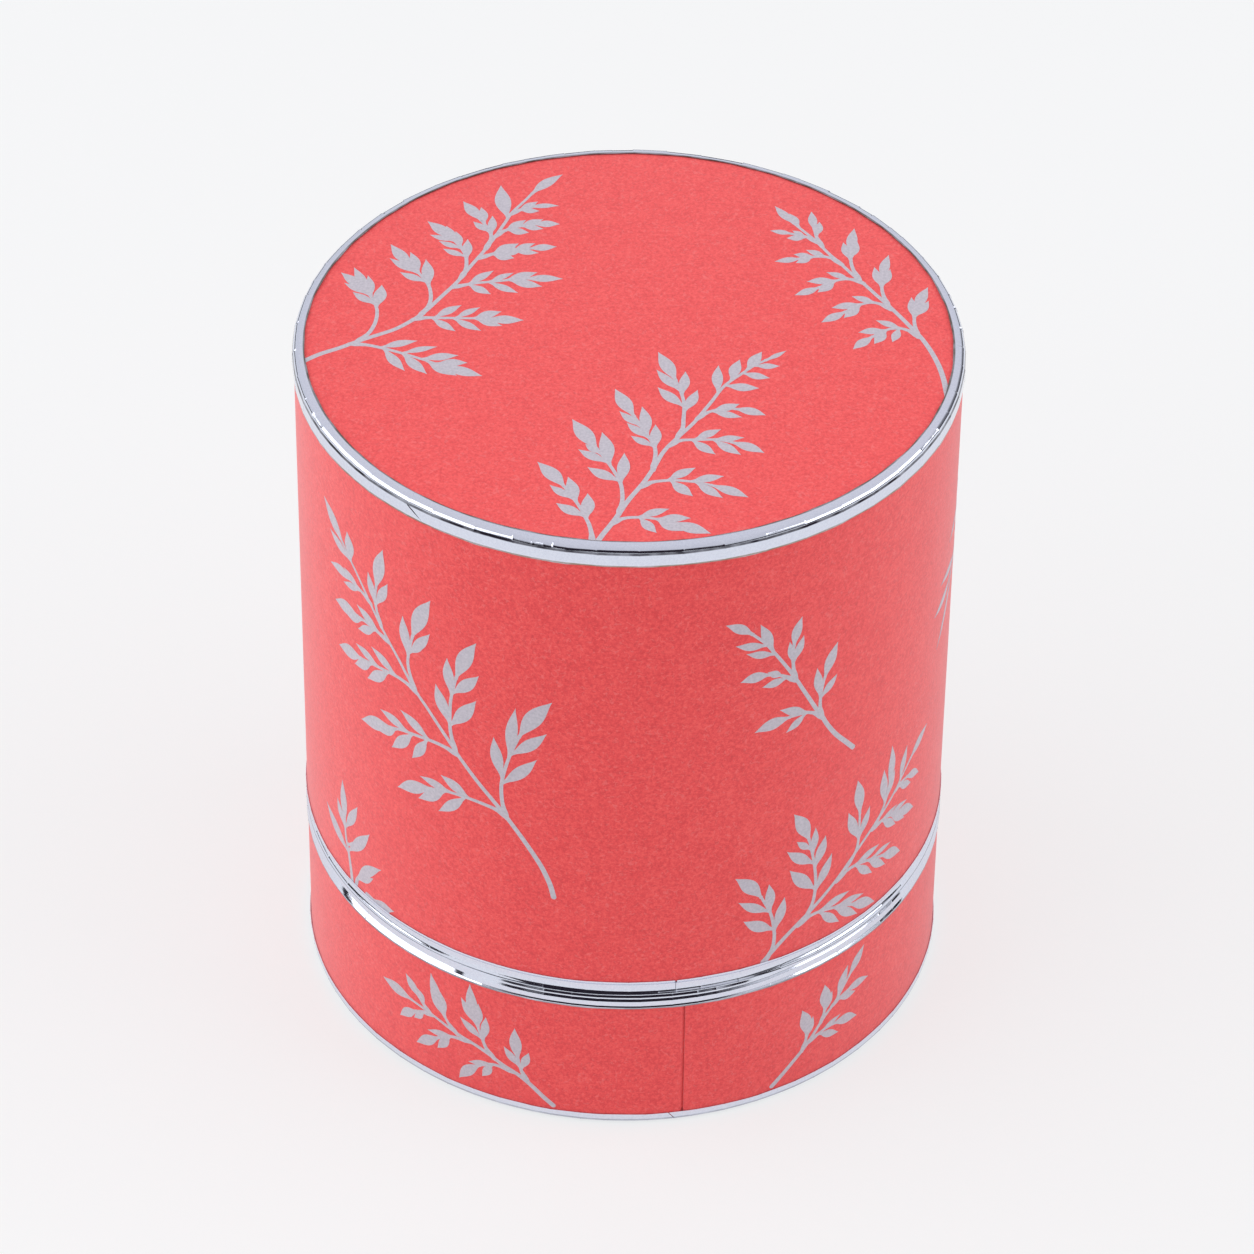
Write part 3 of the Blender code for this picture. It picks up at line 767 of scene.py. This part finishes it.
top_front_sprig = [
    ([(-4.3, -48.6), (-3.4, -46.6), (-2.2, -44.2), (-1.3, -42.2), (-0.5, -40.2), (0.4, -38.2), (1.3, -36.5),
      (2.2, -34.8), (3, -33), (3.8, -31), (4.4, -29.3), (5, -27.6), (5.8, -26), (6.8, -24.4), (7.8, -22.9),
      (8.8, -21.4), (9.8, -19.8), (10.6, -18.2), (11.5, -16.4), (12.4, -14.6), (13.2, -12.8), (14, -11.3),
      (15, -9.9), (16.3, -8.5), (17.6, -7), (19, -5.6), (20.2, -4.7)],
     (23.4, -2.2, 0.9),
     [(0.79, 13.3, -6, 1.7), (0.86, 16.5, -4.5, 1.8), (0.93, 19.8, -2.5, 1.8), (0.96, 22.4, -6, 1.4),
      (0.91, 20.9, -9, 1.6), (0.83, 19.3, -11.5, 1.9)]),
    ([(-4.9, -48.6), (-5, -46.5), (-5.4, -44.3), (-6, -42.5), (-6.8, -40.3), (-7.8, -38.2), (-9, -35.8)],
     (-13.1, -29.9, 2.4),
     [(0.42, -5.7, -37.1, 2), (0.46, -10.2, -39.5, 1.9), (0.72, -8.6, -33.3, 1.9),
      (0.78, -11.2, -35.3, 1.5)]),
    ([(-1.2, -42.1), (-0.7, -39), (-0.7, -37), (-0.9, -35), (-1.5, -33), (-2.4, -30.8), (-3.5, -28.5),
      (-4.4, -26.8)],
     (-8.2, -19.6, 2.6),
     [(0.47, -0.5, -27.5, 1.9), (0.5, -5.8, -31, 2), (0.75, -3.8, -22.6, 2.2), (0.79, -7.2, -26.8, 1.7),
      (0.93, -6.2, -25.5, 1.2)]),
    ([(3.7, -31.6), (4, -28.5), (4, -26.5), (3.4, -24.5), (2.4, -22.3), (1.6, -20.3), (0.9, -18.8)],
     (-2, -12.1, 2.3),
     [(0.4, 4, -20.6, 1.7), (0.43, 0.4, -23.4, 1.4), (0.59, -0.2, -20.3, 1.5), (0.64, 2, -16.3, 1.8),
      (0.81, -1.3, -17.5, 1.4)]),
    ([(7.2, -23.8), (8, -21.5), (8.1, -19.5), (8.2, -17.5), (8.2, -15.5), (7.9, -13.5), (7.5, -11.7),
      (7, -10)],
     (4.3, -2.9, 2.2),
     [(0.47, 10.2, -12.1, 1.7), (0.55, 4.3, -11.6, 1.9), (0.83, 4.1, -7.3, 1.6), (0.76, 8.4, -7.6, 1.6)]),
    ([(-2.2, -44.3), (-0.8, -43), (0.8, -42.6), (2.5, -42.6), (4.3, -42.9), (6.2, -43.6)],
     (12.1, -46.1, 2.3),
     [(0.49, 6.1, -40.5, 1.6), (0.51, 4.3, -46.1, 1.7), (0.78, 9.2, -42.6, 1.8), (0.78, 8.1, -45.6, 2.1)]),
    ([(2, -35.6), (3.4, -34.4), (5, -34), (6.8, -33.8), (8.8, -34), (10.5, -34.3), (12, -34.8)],
     (17.5, -37.6, 1.9),
     [(0.41, 9.9, -30.8, 1.7), (0.73, 14, -32.7, 1.7), (0.45, 9.5, -37.5, 1.9), (0.8, 13.8, -37.8, 1.7)]),
    ([(6, -25.8), (7.4, -24.5), (9, -24.2), (11, -24.1), (13, -24.1), (15, -24.6)],
     (19.9, -27.1, 1.9),
     [(0.45, 13.6, -21.6, 1.6), (0.73, 17, -23.5, 1.4), (0.41, 12.8, -27.6, 1.7), (0.74, 16.5, -27.6, 1.7)]),
    ([(10.1, -19.2), (11.2, -17.9), (12.5, -17.1), (14, -16.6), (15.5, -16.6)],
     (20.2, -18.1, 1.8),
     [(0.49, 16.4, -15.4, 1.7), (0.48, 16.7, -18.6, 1.5)]),
]

tall_sprig = [
    ([(-10.3, 45.5), (-10.9, 48), (-12.2, 51.2), (-14, 54.3), (-16, 57.3), (-18.1, 60.1), (-20, 62.3),
      (-22.5, 65), (-25.3, 68.3), (-26.6, 70), (-28.5, 72.3), (-31, 75.2), (-33.3, 77.5), (-34.5, 79),
      (-36.5, 81.7), (-38.5, 84), (-40.5, 86.3), (-41.5, 87.5), (-43.5, 90), (-45.5, 92.2), (-47.3, 93.9),
      (-49.2, 95.6)],
     (-55.2, 100.7, 2.4),
     [(0.96, -48.2, 98.8, 2.4), (0.96, -53.4, 95.9, 1.7)]),
    ([(-17.6, 59.3), (-18.3, 62), (-18.5, 65), (-18.2, 67.5), (-17.2, 71.5), (-15.7, 75.7)],
     (-10.6, 83.6, 2.7),
     [(0.46, -19.7, 74.6, 2), (0.4, -12.9, 72.1, 2), (0.73, -16.2, 81.2, 1.9), (0.77, -11.4, 77.4, 2)]),
    ([(-26, 69.2), (-26.7, 71.5), (-27, 73.5), (-27, 75.5), (-26.8, 79), (-25.9, 83.3)],
     (-22.4, 91.5, 2.5),
     [(0.36, -29.5, 80.8, 2.2), (0.34, -22.5, 80.5, 2.3), (0.76, -27.4, 86.7, 1.9), (0.79, -22, 85.4, 2)]),
    ([(-33.2, 77.2), (-34.2, 79.8), (-34.7, 82), (-34.5, 84), (-33.8, 87.3)],
     (-30.2, 96.2, 2.7),
     [(0.63, -35.6, 90.6, 2), (0.71, -30.4, 89.8, 1.7), (0.7, -31.3, 87.6, 1.2)]),
    ([(-40.1, 85.8), (-41.1, 88.3), (-41.4, 90.3), (-41.2, 92.5)],
     (-39.5, 100.8, 2.5),
     [(0.54, -43, 94.6, 1.6), (0.56, -38.6, 94.9, 1.7)]),
    ([(-17.6, 59.4), (-19, 60.4), (-21, 60.8), (-24, 61), (-27.5, 60.7), (-30.3, 59.9)],
     (-37.3, 56.4, 2.4),
     [(0.5, -28.8, 63.4, 1.9), (0.74, -32.7, 61.2, 1.5), (0.55, -29.3, 56, 1.8), (0.82, -33.1, 56.6, 2)]),
    ([(-25.6, 68.6), (-27.5, 69.2), (-30, 69.3), (-33, 68.9), (-36, 68.3), (-38.3, 67.5)],
     (-45.5, 64.6, 2.5),
     [(0.41, -36.4, 72.1, 1.9), (0.72, -40.8, 69.6, 1.7), (0.44, -34.2, 63.9, 1.8), (0.66, -38.4, 63.6, 2),
      (0.92, -41.1, 65.1, 1.8)]),
    ([(-32.9, 77.1), (-34.5, 77.9), (-37, 78.2), (-40, 77.8), (-43, 77.2), (-45, 76.7)],
     (-51.4, 75.1, 2.4),
     [(0.36, -42.6, 80.6, 1.7), (0.67, -46.5, 78.7, 1.5), (0.49, -43.7, 73.8, 2), (0.8, -46.9, 74.5, 1.9)]),
    ([(-38.5, 83.8), (-40.5, 84.3), (-42.5, 84.5), (-44.5, 84.5), (-45.6, 84.4)],
     (-52.2, 83.3, 2.4),
     [(0.3, -46, 86.5, 1.7), (0.44, -45.8, 82, 1.6), (0.85, -49, 82.8, 1.9)]),
    ([(-42.4, 88.8), (-44, 89.6), (-45.5, 89.9), (-46.5, 90.1)],
     (-53.5, 89.5, 1.7),
     [(0.65, -49.5, 88.5, 1.3), (0.7, -49.4, 91.3, 1.2)]),
]

cut_sprig = [
    ([(-49.3, 29.4), (-49.6, 31.5), (-50.2, 34.5), (-50.9, 37), (-51.1, 39.6)],
     (-51.6, 48.1, 2),
     [(0.48, -57.8, 38.9, 2.3), (0.52, -44.1, 42.4, 2.1), (0.91, -53.5, 43, 1.7), (0.93, -47.2, 45.8, 1.8),
      (0.63, -45.8, 38.7, 1.4)]),
    ([(-48.1, 29.4), (-47.7, 30.8)],
     (-41.4, 36.9, 2),
     [(1, -43.4, 33.8, 1.4)]),
    ([(-45.2, 29.4), (-43.8, 29.4)],
     (-38.6, 30.2, 1.8),
     []),
]

short_sprig = [
    ([(37.7, 65.2), (36, 67.3), (34, 69.8), (32.3, 72.5), (31.2, 74.7), (30, 76.8), (28.6, 79.5), (27.3, 82),
      (26.3, 84), (25, 86.3), (23.5, 88.8), (22.5, 90.4), (21.3, 92.3), (20.2, 93.6), (19, 94.9)],
     (14.7, 97.7, 1.7),
     [(0.85, 20.1, 96.5, 1.7), (0.9, 16.3, 93.4, 1.5), (0.83, 18, 91.5, 1.4)]),
    ([(31.3, 74.3), (30.8, 76.5), (30.8, 78.5), (31, 80), (31.4, 81.8)],
     (33.7, 87.8, 2),
     [(0.57, 30, 84.5, 1.6), (0.55, 33.8, 81.6, 1.4)]),
    ([(26.3, 83.8), (25.8, 86), (25.7, 88), (25.7, 90.3)],
     (27, 95.6, 1.7),
     [(0.54, 25, 91.6, 1.2), (0.57, 27.4, 91.9, 1.4)]),
    ([(31.4, 74.3), (29.6, 76.1), (27.8, 76.8), (25.6, 77)],
     (19.7, 76, 2.2),
     [(0.54, 23.7, 79, 1.6), (0.6, 24.9, 74.2, 1.4)]),
    ([(26.3, 83.7), (24.7, 85), (23.3, 85.9), (22, 86.4)],
     (17.2, 86.3, 1.9),
     [(0.38, 20.7, 84.4, 1.5), (0.57, 21.5, 87, 1.3)]),
]

leaning_sprig = [
    ([(22.3, 29.4), (23.7, 30.8), (26.1, 33), (28.7, 35), (30.6, 36.3), (32.8, 37.9), (35.3, 39.8),
      (38.2, 42.3), (40.3, 43.9), (43, 45.8), (46, 47.6), (48.8, 49.5), (50.5, 51), (52.8, 52.6)],
     (59, 55.3, 1.8),
     [(0.91, 51.8, 56.4, 1.6)]),
    ([(22.6, 29.2), (23.8, 31.5), (24.1, 33.5), (24, 35.5), (23.3, 39), (21.7, 42.7)],
     (17.3, 47.9, 2.4),
     [(0.46, 18.8, 38.8, 2.1), (0.75, 17.9, 42.9, 1.7), (0.44, 25.7, 41.3, 1.8), (0.74, 22.9, 45, 1.7)]),
    ([(29.7, 35.2), (30.8, 37.5), (31.2, 39.5), (31.3, 42), (30.9, 45.5), (30.3, 48.5), (29.8, 50.8)],
     (26.8, 57.4, 2.4),
     [(0.34, 26.4, 46.3, 2.2), (0.68, 25.8, 50.3, 1.9), (0.88, 27.5, 51.6, 1.2), (0.31, 34.3, 46, 1.9),
      (0.62, 32.9, 50.3, 1.9), (0.8, 30.9, 52.9, 1.4)]),
    ([(37.5, 41.2), (39.3, 43.3), (39.8, 45), (39.9, 47.5), (39.9, 50.5)],
     (39.1, 57.8, 2.2),
     [(0.53, 37.4, 52.3, 1.9), (0.53, 42.2, 50.8, 1.6)]),
    ([(43.3, 45.7), (45, 47.3), (46.1, 49.2), (46.8, 51.2)],
     (47.2, 59.5, 1.8),
     [(0.63, 45.4, 55.9, 1.9), (0.71, 48.4, 54, 1.5)]),
    ([(28.3, 34.2), (30.5, 35.2), (32.5, 35.1), (34.5, 34.6), (36.7, 33.8), (38.5, 33)],
     (44.5, 29.8, 2.1),
     [(0.36, 38.3, 36, 1.5), (0.68, 41.6, 33.4, 1.4), (0.39, 36.4, 30.8, 1.6), (0.68, 40.4, 30, 1.7)]),
    ([(35.5, 39.5), (37.5, 40.5), (39.5, 40.5), (42, 39.8), (44, 39), (45.5, 38.4)],
     (51.2, 35.4, 2.1),
     [(0.37, 45, 41.2, 1.4), (0.75, 48.1, 39.5, 1), (0.4, 43.5, 36.4, 1.5), (0.69, 46.9, 35.8, 1.6)]),
    ([(43, 45.4), (45.5, 45.7), (47.5, 45.3), (49.2, 44.6)],
     (55.1, 41.5, 2),
     [(0.27, 49.6, 46.1, 0.9), (0.69, 52.5, 44.9, 1.1), (0.4, 49.3, 42.3, 1.6), (0.76, 52, 41.7, 1.5)]),
    ([(48.6, 49.3), (50, 49.8), (51.8, 49.8)],
     (56.4, 47.5, 1.6),
     [(0.38, 53.6, 47.6, 1.5)]),
]

right_sprig = [
    ([(96, 60), (91, 67), (86.5, 74), (83, 81), (80.5, 88)],
     (79, 96, 2.2),
     [(0.9, 77.5, 91.5, 1.8), (0.93, 83.5, 93, 1.8)]),
    ([(85, 77.2), (80.5, 78.2), (76, 78.3), (72, 77.8), (69, 76.9)],
     (59.7, 75.4, 1.5),
     [(0.75, 62.2, 79.8, 1.4), (0.9, 61.8, 67.7, 1.3), (0.4, 76, 73.5, 1.8), (0.35, 74, 82, 1.6)]),
    ([(82.2, 83.5), (79, 84.8), (76, 85.5), (73.5, 85.9)],
     (66.8, 84.7, 1.2),
     [(0.5, 75.5, 90.5, 1.6)]),
    ([(87.5, 72), (88.5, 76), (90, 79.5)],
     (92.5, 86.5, 2.3),
     [(0.5, 88, 82, 1.8), (0.6, 93, 81, 1.8)]),
    ([(92, 65.5), (93.5, 69.5), (95.5, 72.5)],
     (99, 79, 2.3),
     [(0.5, 93.8, 76.5, 1.8), (0.6, 99, 74, 1.8)]),
    ([(90.5, 67.8), (86, 68.5), (82, 68)],
     (77, 65.5, 2.1),
     [(0.5, 80.5, 71.5, 1.8), (0.6, 81, 63, 1.8)]),
]

base_left_sprig = [
    ([(-10.3, 2.2), (-12, 3.8), (-14, 5.8), (-16, 7.3), (-18.5, 8.5), (-20.5, 9.7), (-23, 10.8),
      (-25.5, 11.5), (-27.5, 12.1), (-30, 13), (-32.5, 13.6), (-35, 14)],
     (-41.5, 14.8, 2.2),
     []),
    ([(-14.3, 6.1), (-15.4, 8.3), (-15.9, 10.3)],
     (-16.5, 16.9, 2),
     [(0.71, -18.3, 12.5, 1.4), (0.62, -14.2, 12.4, 1.4)]),
    ([(-19.8, 9.2), (-21.3, 11), (-22, 13), (-22.8, 15.2)],
     (-24, 23.3, 2),
     [(0.6, -25.8, 15.6, 1.5), (1, -25.6, 19.8, 1.6), (0.57, -21.3, 17.5, 1.5), (0.94, -22.6, 19.8, 1.4)]),
    ([(-26.3, 11.6), (-28, 13.2), (-28.9, 14.8)],
     (-31.2, 22, 1.9),
     [(0.79, -31.4, 18.4, 1.5), (0.84, -29.6, 19.2, 1.5)]),
    ([(-31.3, 13.3), (-32.7, 14.5), (-33.5, 15.4)],
     (-36.3, 18.9, 1.7),
     [(0.56, -34.1, 17.3, 1.5)]),
    ([(-16.6, 7.5), (-19, 8), (-20.7, 7.8), (-22.3, 6.9)],
     (-26.1, 2.5, 2),
     [(0.58, -24.4, 6.8, 1.2), (0.63, -22, 4.7, 1.5)]),
    ([(-24, 11.1), (-27, 10.7), (-28.7, 10), (-29.7, 9.2)],
     (-34.3, 5.6, 2),
     [(0.49, -32, 9.6, 1.3), (0.62, -30.1, 6.8, 1.6)]),
    ([(-31, 13.2), (-33, 12.8), (-34, 12.3)],
     (-37.7, 9.2, 1.8),
     [(0.55, -34.7, 10.6, 1.3)]),
]

base_right_sprig = [
    ([(24.6, 2.2), (26.5, 4), (28.5, 5.9), (30.3, 7.6), (31.8, 9.3), (33, 10.8), (34.3, 12.3), (36, 13.8),
      (37.5, 15.6), (39, 17.6)],
     (42.4, 22.3, 1.8),
     [(0.83, 38.8, 20.3, 1.7)]),
    ([(29.9, 7.1), (30.6, 9), (30.7, 10)],
     (29.7, 15.9, 2.2),
     [(0.87, 31.9, 13.6, 1.4)]),
    ([(33.4, 11.2), (34, 12.7), (34.1, 13.5)],
     (34, 19, 2.2),
     [(0.88, 35.6, 16.8, 1.3)]),
    ([(30.9, 8.3), (33.2, 9.2), (34.7, 9.5), (36, 9.5)],
     (41.4, 8, 2),
     [(0.53, 37.6, 10.7, 1.1), (0.46, 37.3, 7.1, 1.5)]),
    ([(35.6, 13.5), (37.3, 14.4), (38.3, 14.7)],
     (43.8, 14.7, 1.7),
     [(0.54, 40.8, 13.6, 1.5)]),
]

# Shapes of leaves and stalks
leaf_steps = 12
leaf_fullness = 1.02
leaf_point = 1.25
leaf_bow = 0.05
tip_leaf_bow = -0.12
bow_ramp = 3.0
stalk_half_width = 0.3
shoot_step = 0.9
cap_steps = 5
stem_width = 0.85
twig_width = 0.7
shoot_end_width = 0.45
flare = 0.5
flare_place = 1.1
flare_reach = 0.8


def towards(a, b):
    """The direction from a to b."""
    length = math.dist(a, b)
    return ((b[0] - a[0]) / length, (b[1] - a[1]) / length)


def beside(point, ahead, reach):
    """The point that lies to the left of another, looking ahead, or to the right for a negative reach."""
    return (point[0] - ahead[1] * reach, point[1] + ahead[0] * reach)


def smooth_path(points):
    """An even curve through the points, with a point about every shoot_step."""
    ends = [between(points[1], points[0], 2.0), *points, between(points[-2], points[-1], 2.0)]
    path = [points[0]]
    for before, start, stop, after in zip(ends, ends[1:], ends[2:], ends[3:]):
        parts = max(1, round(math.dist(start, stop) / shoot_step))
        for part in range(1, parts + 1):
            t = part / parts
            place = []
            for k in (0, 1):
                second = 2 * before[k] - 5 * start[k] + 4 * stop[k] - after[k]
                third = 3 * start[k] - before[k] - 3 * stop[k] + after[k]
                place.append(start[k] + 0.5 * ((stop[k] - before[k]) * t + second * t**2 + third * t**3))
            path.append(tuple(place))
    return path


def place_on(path, share):
    """The point at a share of the path's length, and the direction there."""
    lengths = [0.0]
    for a, b in zip(path, path[1:]):
        lengths.append(lengths[-1] + math.dist(a, b))
    target = share * lengths[-1]
    i = max(0, min(len(path) - 2, sum(length < target for length in lengths) - 1))
    part = (target - lengths[i]) / (lengths[i + 1] - lengths[i])
    return between(path[i], path[i + 1], part), towards(path[i], path[i + 1])


def leaf_outline(root, direction, tip, width, bow):
    """A pointed oval. Its middle line bows away from the shoot, or with a negative bow starts along it."""
    length = math.dist(root, tip)
    chord = towards(root, tip)
    turn = direction[0] * chord[1] - direction[1] * chord[0]
    reach = bow * length * max(-1.0, min(1.0, turn * bow_ramp))
    bend = beside(between(root, tip, 0.5), chord, reach)
    left = []
    right = []
    for step in range(leaf_steps):
        t = step / leaf_steps
        middle = between(between(root, bend, t), between(bend, tip, t), t)
        ahead = towards(between(root, bend, t), between(bend, tip, t))
        half = width / 2 * math.sin(math.pi * t**leaf_fullness) ** leaf_point
        half = max(half, stalk_half_width * (1.0 - t))
        left.append(beside(middle, ahead, half))
        right.append(beside(middle, ahead, -half))
    return [*right, tip, *left[::-1]]


def stalk_outline(path, start_width, swell):
    """A stalk that tapers to its end, and swells a little where it leaves its stem."""
    left = []
    right = []
    length = sum(math.dist(a, b) for a, b in zip(path, path[1:]))
    run = 0.0
    for i, point in enumerate(path):
        ahead = towards(path[max(i - 1, 0)], path[min(i + 1, len(path) - 1)])
        if i:
            run += math.dist(path[i - 1], point)
        half = (start_width + (shoot_end_width - start_width) * run / length) / 2
        half *= 1.0 + swell * math.exp(-(((run - flare_place) / flare_reach) ** 2))
        left.append(beside(point, ahead, half))
        right.append(beside(point, ahead, -half))
    cap = []
    ahead = towards(path[0], path[1])
    half = math.dist(left[0], right[0]) / 2
    for step in range(1, cap_steps):
        side = half * math.cos(math.pi * step / cap_steps)
        back = half * math.sin(math.pi * step / cap_steps)
        x, y = beside(path[0], ahead, side)
        cap.append((x - ahead[0] * back, y - ahead[1] * back))
    return right + left[::-1] + cap


def sprig_outlines(sprig, across):
    """The outlines of a sprig's stalks and leaves, moved across the sheet."""
    outlines = []
    for number, (points, (tip_x, tip_y, tip_width), leaves) in enumerate(sprig):
        path = smooth_path(points)
        start_width, swell = (twig_width, flare) if number else (stem_width, 0.0)
        outlines.append(stalk_outline(path, start_width, swell))
        end, ahead = place_on(path, 1.0)
        outlines.append(leaf_outline(end, ahead, (tip_x, tip_y), tip_width, tip_leaf_bow))
        for share, x, y, width in leaves:
            root, ahead = place_on(path, share)
            outlines.append(leaf_outline(root, ahead, (x, y), width, leaf_bow))
    return [[(x + across, y) for x, y in outline] for outline in outlines]


# The ink's film
ink_above = 0.03
ink_below = 0.02
bend_step = 1.0
bend_margin = 1.0
join_distance = 0.001


def printed(name, placed, place_at, bends, body):
    """One film of ink: all outlines joined on the flat sheet, then laid on the box with a little thickness.

    place_at gives the place on the box, and bends says that the film is cut into strips that follow a curve.
    """
    points = []
    loops = []
    for sprig, across in placed:
        for outline in sprig_outlines(sprig, across):
            area = sum(a[0] * b[1] - b[0] * a[1] for a, b in zip(outline, outline[1:] + outline[:1]))
            if area < 0.0:
                outline = outline[::-1]
            loops.append(list(range(len(points), len(points) + len(outline))))
            points += outline
    guides = []
    if bends:
        low = min(y for x, y in points) - bend_margin
        high = max(y for x, y in points) + bend_margin
        left = math.floor(min(x for x, y in points))
        right = math.ceil(max(x for x, y in points))
        for step in range(int((right - left) / bend_step) + 1):
            x = left + step * bend_step
            guides.append((len(points), len(points) + 1))
            points += [(x, low), (x, high)]
    cut = delaunay_2d_cdt([Vector(p) for p in points], guides, loops, 0, join_distance, True)
    corners, faces, sources = cut[0], cut[2], cut[5]
    faces = [face for face, source in zip(faces, sources) if source]
    shape = bmesh.new()
    tops = {}
    bottoms = {}
    edges = {}
    for face in faces:
        for i in face:
            if i not in tops:
                tops[i] = shape.verts.new(place_at(*corners[i], ink_above))
                bottoms[i] = shape.verts.new(place_at(*corners[i], -ink_below))
        shape.faces.new([tops[i] for i in face])
        shape.faces.new([bottoms[i] for i in reversed(face)])
        for a, b in zip(face, face[1:] + face[:1]):
            edges[(a, b)] = True
    for a, b in edges:
        if (b, a) not in edges:
            shape.faces.new((tops[a], bottoms[a], bottoms[b], tops[b]))
    finished(name, shape, body, silver, ())


def on_top(x, y, above):
    """The place on the lid's top."""
    return (x * MM, y * MM, (top_paper_height + above) * MM)


def on_side(x, y, above):
    """The place on a side paper."""
    return turned_point(paper_radius + above, x / paper_radius, y)


# The unseen half of the side repeats the print after half a turn, all but the sprig at the right.
half_turn = math.pi * paper_radius
lid_sprigs = (tall_sprig, cut_sprig, short_sprig, leaning_sprig)
base_sprigs = (base_left_sprig, base_right_sprig)
top_print = [(sprig, 0.0) for sprig in (top_left_sprig, top_right_sprig, top_front_sprig)]
side_print = [(sprig, across) for sprig in lid_sprigs for across in (0.0, half_turn)]
base_print = [(sprig, across) for sprig in base_sprigs for across in (0.0, half_turn)]
printed("lid_top_print", top_print, on_top, False, "lid")
printed("lid_side_print", [*side_print, (right_sprig, 0.0)], on_side, True, "lid")
printed("base_side_print", base_print, on_side, True, "base")


# ---- Floor, light and camera ----

# Sizes are in metres here.
floor_size = 4.0
floor_below = 0.0002
floor_shape = bmesh.new()
bmesh.ops.create_grid(floor_shape, x_segments=1, y_segments=1, size=floor_size)
floor_mesh = bpy.data.meshes.new("studio_floor")
floor_shape.to_mesh(floor_mesh)
floor_shape.free()
floor = bpy.data.objects.new("studio_floor", floor_mesh)
floor.location = (0.0, 0.0, -floor_below)
bpy.context.scene.collection.objects.link(floor)
floor_finish, put = new_finish("studio_floor_card")
card = put("ShaderNodeBsdfPrincipled", {"Base Color": linear("#F6F7F7"), "Roughness": 0.85})
# Where it is seen, it is brightened towards its own colour, and keeps some of the shadow.
glow = put("ShaderNodeEmission", {"Color": linear("#F7F8F8"), "Strength": 1.0})
paths = put("ShaderNodeLightPath").node.outputs
seen = put("ShaderNodeMath", {0: paths["Is Camera Ray"], 1: paths["Is Glossy Ray"]}, operation="MAXIMUM")
seen = put("ShaderNodeMath", {0: seen, 1: paths["Is Transmission Ray"]}, operation="MAXIMUM")
share = put("ShaderNodeMath", {0: seen, 1: 0.65}, operation="MULTIPLY")
shader = put("ShaderNodeMixShader", {0: share, 1: card, 2: glow})
put("ShaderNodeOutputMaterial", {"Surface": shader})
floor_mesh.materials.append(floor_finish)

# The room: pale walls and ceiling. The foil also mirrors what is dark in it: a doorway in front, a strip
# along the foot of the walls, and the far corner at the right.
world = bpy.data.worlds.new("studio")
bpy.context.scene.world = world
world.use_nodes = True
world.node_tree.nodes.clear()
put = partial(add, world.node_tree)
way = put("ShaderNodeTexCoord", out="Generated")
towards_back = put("ShaderNodeSeparateXYZ", {0: way}, out="Y")
height = towards_back.node.outputs["Z"]
room = put(
    "ShaderNodeValToRGB",
    {"Fac": height},
    stops=((0.0, "#E2E3E6"), (1.0, "#DCDBE0"), (0.4, "#D4D5DA"), (0.63, "#DCDBE0")),
)
# The side behind the box is the paler one.
evenness = put("ShaderNodeMapRange", {"Value": towards_back, "From Min": -1.0, "To Min": 0.86})
room = put("ShaderNodeVectorMath", {0: room, "Scale": evenness}, operation="SCALE")
doorway = put(
    "ShaderNodeMapRange",
    {"Value": towards_back, "From Min": -0.88, "From Max": -0.79, "To Min": 1.0, "To Max": 0.0},
)
strip = near(put, height, 0.07, 0.06, 0.11)
corner = put("ShaderNodeVectorMath", {0: way, 1: (0.8, 0.6, 0.1)}, out="Value", operation="DOT_PRODUCT")
corner = put("ShaderNodeMapRange", {"Value": corner, "From Min": 0.85, "From Max": 0.97, "To Max": 0.8})
dark = put("ShaderNodeMath", {0: doorway, 1: strip}, operation="MAXIMUM")
dark = put("ShaderNodeMath", {0: dark, 1: corner}, operation="MAXIMUM")
room = put("ShaderNodeMix", {0: dark, 6: room, 7: linear("#262129")}, out=2, data_type="RGBA")
sky = put("ShaderNodeBackground", {"Color": room, "Strength": 1.13})
put("ShaderNodeOutputWorld", {"Surface": sky})

# Two soft boxes stand at the sides.
lamp_aim = Vector((0.0, 0.0, 0.05))


def lamp(name, place, size, power):
    """A soft box that points at the middle of the gift box."""
    light = bpy.data.lights.new(name, "AREA")
    light.shape = "RECTANGLE"
    light.size, light.size_y = size
    light.energy = power
    holder = bpy.data.objects.new(name, light)
    holder.location = place
    holder.rotation_euler = (lamp_aim - Vector(place)).to_track_quat("-Z", "Y").to_euler()
    bpy.context.scene.collection.objects.link(holder)


lamp("left_box", (-0.93, -0.18, 0.58), (1.5, 0.9), 5.8)
lamp("right_box", (0.93, -0.1, 0.56), (1.0, 0.6), 3.4)

# The camera looks down at the box from the front with a long lens, and leans a little.
camera_distance = 0.9076
camera_lens = 168.07
camera_elevation = math.radians(39.433)
camera_roll = math.radians(0.744)
look_at = Vector((0.000232, 0.0, 0.057874))
forward = Vector((0.0, math.cos(camera_elevation), -math.sin(camera_elevation)))
level_up = Vector((0.0, math.sin(camera_elevation), math.cos(camera_elevation)))
right = Vector((1.0, 0.0, 0.0)) * math.cos(camera_roll) + level_up * math.sin(camera_roll)
up = level_up * math.cos(camera_roll) - Vector((1.0, 0.0, 0.0)) * math.sin(camera_roll)
camera = bpy.data.cameras.new("camera")
camera.lens = camera_lens
camera.sensor_width = 36.0
camera.clip_start = 0.05
eye = bpy.data.objects.new("camera", camera)
turn = Matrix((right, up, -forward)).transposed()
eye.matrix_world = Matrix.Translation(look_at - forward * camera_distance) @ turn.to_4x4()
bpy.context.scene.collection.objects.link(eye)
bpy.context.scene.camera = eye

bpy.context.scene.view_settings.view_transform = "Standard"
